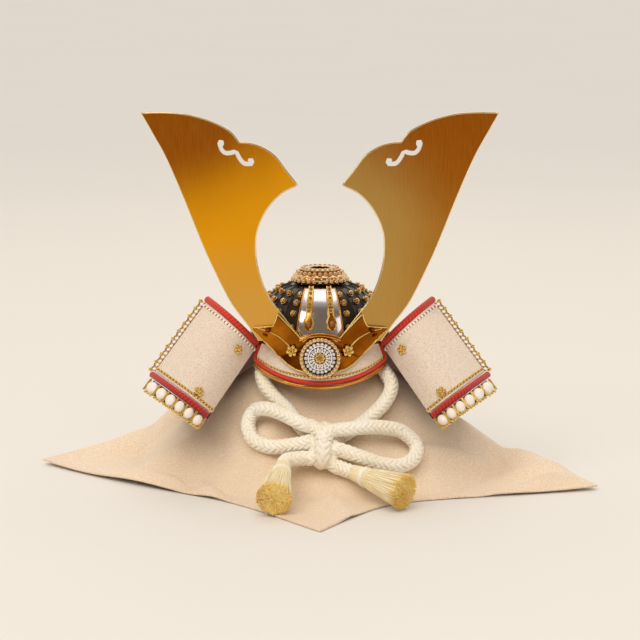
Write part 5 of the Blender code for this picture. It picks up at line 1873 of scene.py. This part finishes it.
def build_wing(side, word):
    span = (wing_point(-1, 1, 0) - wing_point(-1, 0, 0)).length

    def leather(across, along):
        return wing_point(side, along, across)

    piece = lay("wing_leather_" + word, leather, 48, 20, LEATHER, WING_WALL, 0.0, 0.0005)
    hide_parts("wing_" + word)

    for row, down, radius in (
        ("top", -(WING_TOP_PIPING_RADIUS + 2 * GAP) / span, WING_TOP_PIPING_RADIUS),
        ("hem", 1 + (WING_HEM_PIPING_RADIUS + 2 * GAP) / span, WING_HEM_PIPING_RADIUS),
    ):
        points = [wing_point(side, down, 0.03 + 0.99 * n / 8) for n in range(9)]
        cord = sweep(
            f"wing_{row}_cord_{word}", smooth_line(points, 0.0005), radius, 24,
            SCARLET if row == "top" else CRIMSON, twist(0.0042, 2), 0.00008,
        )
        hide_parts(f"wing_{row}_piping_{word}")
        pale, dark = [], []
        for n in range(WING_BEAD_COUNT):
            near = 0.036 if row == "top" else 0.962
            back = 0.015 + 0.97 * n / (WING_BEAD_COUNT - 1)
            (dark if n % 2 else pale).append(wing_side(side, near, back, WING_WALL / 2))
        finish = YELLOW_GOLD if row == "hem" else PEARL
        beads(f"wing_{row}_beads_{word}", pale, WING_BEAD_RADIUS, finish, 0.75)
        beads(f"wing_{row}_stitches_{word}", dark, WING_STITCH_RADIUS, AMBER, 0.75)

    flowers = bmesh.new()
    for row, down, back in (("top", 0.19, 0.23), ("hem", 0.90, 0.33)):
        seat, out = wing_side(side, down, back, WING_WALL / 2 + GAP)
        rosette(flowers, facing(seat, out), **FLOWERS["wing"])
    flower = new_piece("wing_flowers_" + word, flowers, YELLOW_GOLD, 180)
    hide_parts("wing_top_stud_" + word, "wing_hem_stud_" + word)

    def trim(across, along):
        edge = wing_point(side, across, 1.0)
        slope = (edge - wing_point(side, across, 0.96)).normalized()
        out = wing_side(side, min(0.99, max(0.01, across)), 0.99)[1]
        scallop = 0.80 + 0.20 * abs(math.cos(9 * math.pi * across))
        fan = slope * 0.86 + out * 0.25 + Vector((side * 0.45, 0, 0)) * along
        return edge + slope * 2 * GAP + fan.normalized() * (along * WING_TRIM_REACH * scallop)

    lace = bmesh.new()
    for along, radius in ((0.10, LACE_INNER_RADIUS), (0.95, LACE_OUTER_RADIUS)):
        add_tube(lace, [trim(n / 108, along) for n in range(109)], radius, 8)
    for n in range(LACE_LOOPS):
        loop = []
        for k in range(17):
            angle = 2 * math.pi * k / 16
            across = (n + 0.5 + 0.46 * math.cos(angle)) / LACE_LOOPS
            loop.append(trim(across, 0.52 + 0.36 * math.sin(angle)))
        add_tube(lace, loop, LACE_LOOP_RADIUS, 6)
    lace = new_piece("wing_trim_lace_" + word, lace, BEAD_GOLD, 60)
    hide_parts("wing_trim_" + word)
    pale, dark = [], []
    spaces = LACE_BEAD_COUNT - 1
    for n in range(LACE_BEAD_COUNT):
        down = min(0.99, max(0.01, n / spaces))
        spot, out = trim(n / spaces, 0.80), wing_side(side, down, 0.98)[1]
        pale.append((spot + out * 0.0004, out))
        if n < spaces:
            middle = trim((n + 0.5) / spaces, 0.10)
            dark.append((middle + out * 0.0005, out))
    beads("wing_trim_beads_" + word, pale, LACE_BEAD_RADIUS, YELLOW_GOLD, 1.0, 12, 8)
    beads("wing_trim_eyelets_" + word, dark, LACE_EYELET_RADIUS, AMBER, 0.7)
    build_wing_lacing(side, word, span)


def build_wing_lacing(side, word, span):
    """The white pillows below a wing, the gold bars between them and the gold hem."""
    start = 2 * (WING_HEM_PIPING_RADIUS + GAP) + GAP
    down = 1 + (start + 0.5 * WING_LACING_REACH) / span
    pillows, bars, tips = bmesh.new(), bmesh.new(), []

    def at(n):
        return PILLOW_START + PILLOW_SPAN * n / PILLOW_COUNT

    for n in range(PILLOW_COUNT):
        back = at(n + 0.5)
        spot, out = wing_side(side, down, back, 0.0004)
        below = wing_side(side, down + 0.1, back, 0.0004)[0]
        beyond = wing_side(side, down, back + 0.02, 0.0004)[0]
        along, across = (below - spot).normalized(), (beyond - spot).normalized()
        width = (wing_point(side, down, at(n + 1)) - wing_point(side, down, at(n))).length
        basis = Matrix((across, along, out)).transposed().to_4x4()
        size = (width * 0.46, WING_LACING_REACH * 0.40, WING_LACING_WALL * 0.66)
        ball(pillows, Matrix.Translation(spot) @ basis, 1.0, 24, 16, size)
        for shift in (-0.30, 0.0, 0.30):
            low = spot + along * WING_LACING_REACH * 0.45 + across * width * shift + out * 0.0006
            tips.append((low, out))
    half = 0.42 * WING_LACING_REACH / span
    for n in range(PILLOW_COUNT + 1):
        high, low = (wing_point(side, down + way * half, at(n), 0.0012) for way in (-1, 1))
        for shift in (-0.0004, 0.0004):
            nudge = Vector((shift, 0, 0))
            add_tube(bars, [high.lerp(low, k / 4) + nudge for k in range(5)], PILLOW_BAR_RADIUS, 8)
    for vert in pillows.verts:
        vert.co += Vector((0, 0, 0.00015)) * noise.noise(vert.co * 900)
    pad = new_piece("wing_pillows_" + word, pillows, PEARL, 180)
    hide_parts("wing_lacing_" + word)
    new_piece("wing_pillow_bars_" + word, bars, YELLOW_GOLD, 60)
    beads("wing_pillow_tips_" + word, tips, PILLOW_TIP_RADIUS, YELLOW_GOLD, 0.8, 10, 7)

    def backing(across, along):
        share = 1 + (start + (along * 0.86 + 0.02) * WING_LACING_REACH) / span
        return wing_point(side, share, 0.05 + 0.91 * across, -0.0007)

    lay("wing_lacing_backing_" + word, backing, 40, 4, MAROON, 0.0010, 0.0)


# Horn socket, crest and horns

def socket_columns():
    """Places across the socket, as (share, foot, top), closer where an edge is steep."""
    half = []
    for a, b in zip(SOCKET_EDGES, SOCKET_EDGES[1:]):
        steps = 3 + round(24 * abs(b["top"] - a["top"]))
        for k in range(steps):
            t = k / steps
            half.append(tuple(a[key] + (b[key] - a[key]) * t for key in ("across", "foot", "top")))
    end = SOCKET_EDGES[-1]
    half.append((end["across"], end["foot"], end["top"]))
    return [(-across, foot, top) for across, foot, top in reversed(half[1:])] + half


def build_socket():
    rows = socket_columns()
    last = len(rows) - 1

    def plate(across, along):
        share, foot, top = rows[round(across * last)]
        x = share * SOCKET_HALF_WIDTH
        z = SOCKET_FOOT_Z + SOCKET_HEIGHT * (foot + along * (top - foot))
        return Vector((x, socket_y(x, z), z))

    piece = lay("horn_socket_gold", plate, last, 18, FIRED_GOLD, SOCKET_WALL, 0.0)
    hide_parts("horn_socket")
    out = SOCKET_WALL / 2
    rims = bmesh.new()
    for along in (0.0, 1.0):
        line = [plate(n / last, along) - Vector((0, out * 0.7, 0)) for n in range(last + 1)]
        add_tube(rims, line, SOCKET_RIM_RADIUS, 8)
    for side in (-1, 1):
        fold = []
        for n in range(25):
            t = n / 24
            x = side * SOCKET_HALF_WIDTH * (0.93 - 0.50 * t)
            z = SOCKET_FOOT_Z + SOCKET_HEIGHT * (0.74 - 0.12 * t - 0.22 * t**3)
            fold.append(Vector((x, socket_y(x, z) - out, z)))
        add_tube(rims, fold, SOCKET_FOLD_RADIUS, 8)
    new_piece("horn_socket_rims", rims, YELLOW_GOLD, 60)

    def lip(across, along):
        x = LIP_HALF_WIDTH * (2 * across - 1)
        arch = LIP_RISE * (1 - (2 * across - 1) ** 2)
        roll = math.radians(-60 + 200 * along)
        z = LIP_Z + arch + LIP_RADIUS * math.sin(roll)
        return Vector((x, socket_y(x, LIP_Z) + 0.0004 - LIP_RADIUS * math.cos(roll), z))

    lay("crest_lip", lip, 40, 16, GOLD, 0.0003)


def build_crest():
    centre, lean = crest_frame()
    matrix = Matrix.Translation(centre) @ Matrix.Rotation(math.pi / 2 - lean, 4, "X")
    d, r, base = CREST_DEPTH, CREST_RADIUS, CREST_BED_DEPTH
    ring = STONE_RING_OUTER
    setting = (
        (0.0, base), (ring + GAP, base), (ring + 1.2 * GAP, 0.80 * d), (ring + 2.4 * GAP, 0.98 * d),
        (0.5 * (ring + r), 1.06 * d), (0.94 * r, 0.95 * d), (0.985 * r, 0.70 * d), (r, 0.42 * d),
        (0.99 * r, 0.15 * d), (0.97 * r, 0.0), (0.0, 0.0),
    )
    piece = turned("crest_setting_gold", setting, GOLD, 96, matrix)
    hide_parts("crest_setting")
    outward = matrix.to_3x3() @ Vector((0, 0, 1))

    def ring_of(count, radius, height):
        """Places on a ring in the crest's own plane."""
        return [matrix @ polar(radius, 2 * math.pi * n / count, height) for n in range(count)]

    rim = [(spot, outward) for spot in ring_of(CREST_BEAD_COUNT, 0.90 * r, 1.02 * d)]
    beads("crest_rim_beads", rim, CREST_BEAD_RADIUS, PEARL_GOLD, 0.8, 12, 8)
    bed = ((0.0, base + 0.0005), (ring, base + 0.0005), (ring, base), (0.0, base))
    turned("crest_bed", bed, LACQUER, 64, matrix)
    stones = bmesh.new()
    for row in STONE_RINGS:
        size = row["size"]
        for spot in ring_of(row["count"], row["reach"], base + 0.0013):
            seat = Matrix.Translation(spot) @ matrix.to_3x3().to_4x4()
            for top, low, depth, z in ((0.6, 1.0, 0.6, 0.30), (1.0, 0.6, 0.7, -0.35)):
                bmesh.ops.create_cone(
                    stones, cap_ends=True, segments=8, radius1=low * size, radius2=top * size,
                    depth=depth * size, matrix=seat @ Matrix.Translation((0, 0, z * size)),
                )
    gems = new_piece("crest_stones_cut", stones, STONE, 1)
    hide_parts("crest_stones")
    line = ring_of(72, WHITE_RING_REACH, base + 0.0022)
    sweep("crest_ring_white", line, WHITE_RING_RADIUS, 8, PEARL, closed=True)
    petals = bmesh.new()
    for n in range(CREST_PETAL_COUNT):
        turn = Matrix.Rotation(2 * math.pi * n / CREST_PETAL_COUNT, 4, "Z")
        seat = matrix @ turn @ Matrix.Translation((CREST_PETAL_REACH, 0, base + 0.0010))
        ball(petals, seat, CREST_PETAL_RADIUS, 10, 7, (1.10, 0.56, 0.70))
    new_piece("crest_ring_petals", petals, PEARL, 180)
    boss = bmesh.new()
    rosette(boss, matrix @ Matrix.Translation((0, 0, base + 0.0012)), **FLOWERS["crest"])
    flower = new_piece("crest_boss_flower", boss, YELLOW_GOLD, 180)
    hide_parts("crest_boss")
    heart = [(matrix @ Vector((0, 0, base + 0.0035)), outward)]
    beads("crest_boss_heart", heart, CREST_HEART_RADIUS, AMBER, 1.0, 12, 8)


def build_knob(side, word):
    low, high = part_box("knob_" + word)
    middle = (low + high) / 2
    x, z = abs(middle.x), middle.z
    step = 0.001
    along_x = (socket_y(x + step, z) - socket_y(x - step, z)) / (2 * step)
    along_z = (socket_y(x, z + step) - socket_y(x, z - step)) / (2 * step)
    normal = Vector((side * along_x, -1.0, along_z)).normalized()
    seat = Vector((middle.x, middle.y, middle.z)) - normal * KNOB_HEIGHT * 0.45
    bm = bmesh.new()
    matrix = facing(seat, normal)
    bmesh.ops.create_cone(
        bm, cap_ends=True, segments=24, radius1=KNOB_FOOT_RADIUS, radius2=KNOB_TOP_RADIUS,
        depth=KNOB_FOOT_HEIGHT, matrix=matrix @ Matrix.Translation((0, 0, KNOB_FOOT_HEIGHT / 2)),
    )
    rosette(bm, matrix @ Matrix.Translation((0, 0, 0.0008)), **FLOWERS["knob"])
    flower = new_piece("knob_flower_" + word, bm, YELLOW_GOLD, 50)
    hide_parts("knob_" + word)
    heart = bmesh.new()
    ball(heart, matrix @ Matrix.Translation((0, 0, KNOB_HEART_LIFT)), KNOB_HEART_RADIUS, 12, 8)
    new_piece("knob_heart_" + word, heart, AMBER, 180)


def build_horn(side, word):
    """The flat horn with a pierced scroll and a narrow round wire along its edge, whose paler gold is a
    painted highlight.
    """
    outline = outline_points(HORN_OUTLINE, HORN_CORNERS, HORN_STEP)
    cusp = len(SCROLL_LINE) // 2
    plate = put("plate", flat_mesh("plate", outline, side, HORN_WALL / 2))
    cutters = []
    for first, last in ((0, cusp), (cusp, len(SCROLL_LINE) - 1)):
        cut = put("cut", flat_mesh("cut", scroll_hook(first, last), side, HORN_WALL))
        pierce = plate.modifiers.new("pierce", "BOOLEAN")
        pierce.operation = "DIFFERENCE"
        pierce.object = cut
        cutters.append(cut)
    seen = plate.evaluated_get(bpy.context.evaluated_depsgraph_get())
    bm = bmesh.new()
    bm.from_mesh(seen.to_mesh())
    for item in (plate, *cutters):
        bpy.data.objects.remove(item, do_unlink=True)
    bmesh.ops.remove_doubles(bm, verts=bm.verts, dist=0.000002)
    foot_x = HORN_FOOT_X + HORN_OUTLINE[-1]["along"] * HORN_REACH
    behind = (SOCKET_WALL + HORN_WALL) / 2 + 1.5 * GAP
    near, far = (socket_y(x, HORN_FOOT_Z) + behind for x in (HORN_FOOT_X, foot_x))
    yaw = math.atan2(far - near, foot_x - HORN_FOOT_X)
    matrix = (Matrix.Translation((side * HORN_FOOT_X, near, HORN_FOOT_Z))
              @ Matrix.Rotation(side * yaw, 4, "Z") @ Matrix.Rotation(math.pi / 2, 4, "X"))
    bmesh.ops.transform(bm, matrix=matrix, verts=bm.verts)
    piece = new_piece("horn_plate_" + word, bm, SATIN_GOLD, 30)
    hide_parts("horn_" + word)
    edge = [matrix @ Vector((side * spot.x, spot.y, 0)) for spot in outline]
    # Round edge wire; its paler gold is a painted highlight along the rim
    wire("horn_edge_" + word, edge, HORN_EDGE_RADIUS, PEARL_GOLD, 10)


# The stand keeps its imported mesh

def finish_stand():
    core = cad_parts["stand_core"]
    core.data.materials.clear()
    core.data.materials.append(WOOD[0])


build_studio()
build_cords()
build_cloth()
build_bowl()
build_waist()
build_front_plate()
build_crown()
build_visor()
build_neck_guard()
for wing_hand, hand in ((-1, "left"), (1, "right")):
    build_wing(wing_hand, hand)
    build_knob(wing_hand, hand)
    build_horn(wing_hand, hand)
build_socket()
build_crest()
finish_stand()
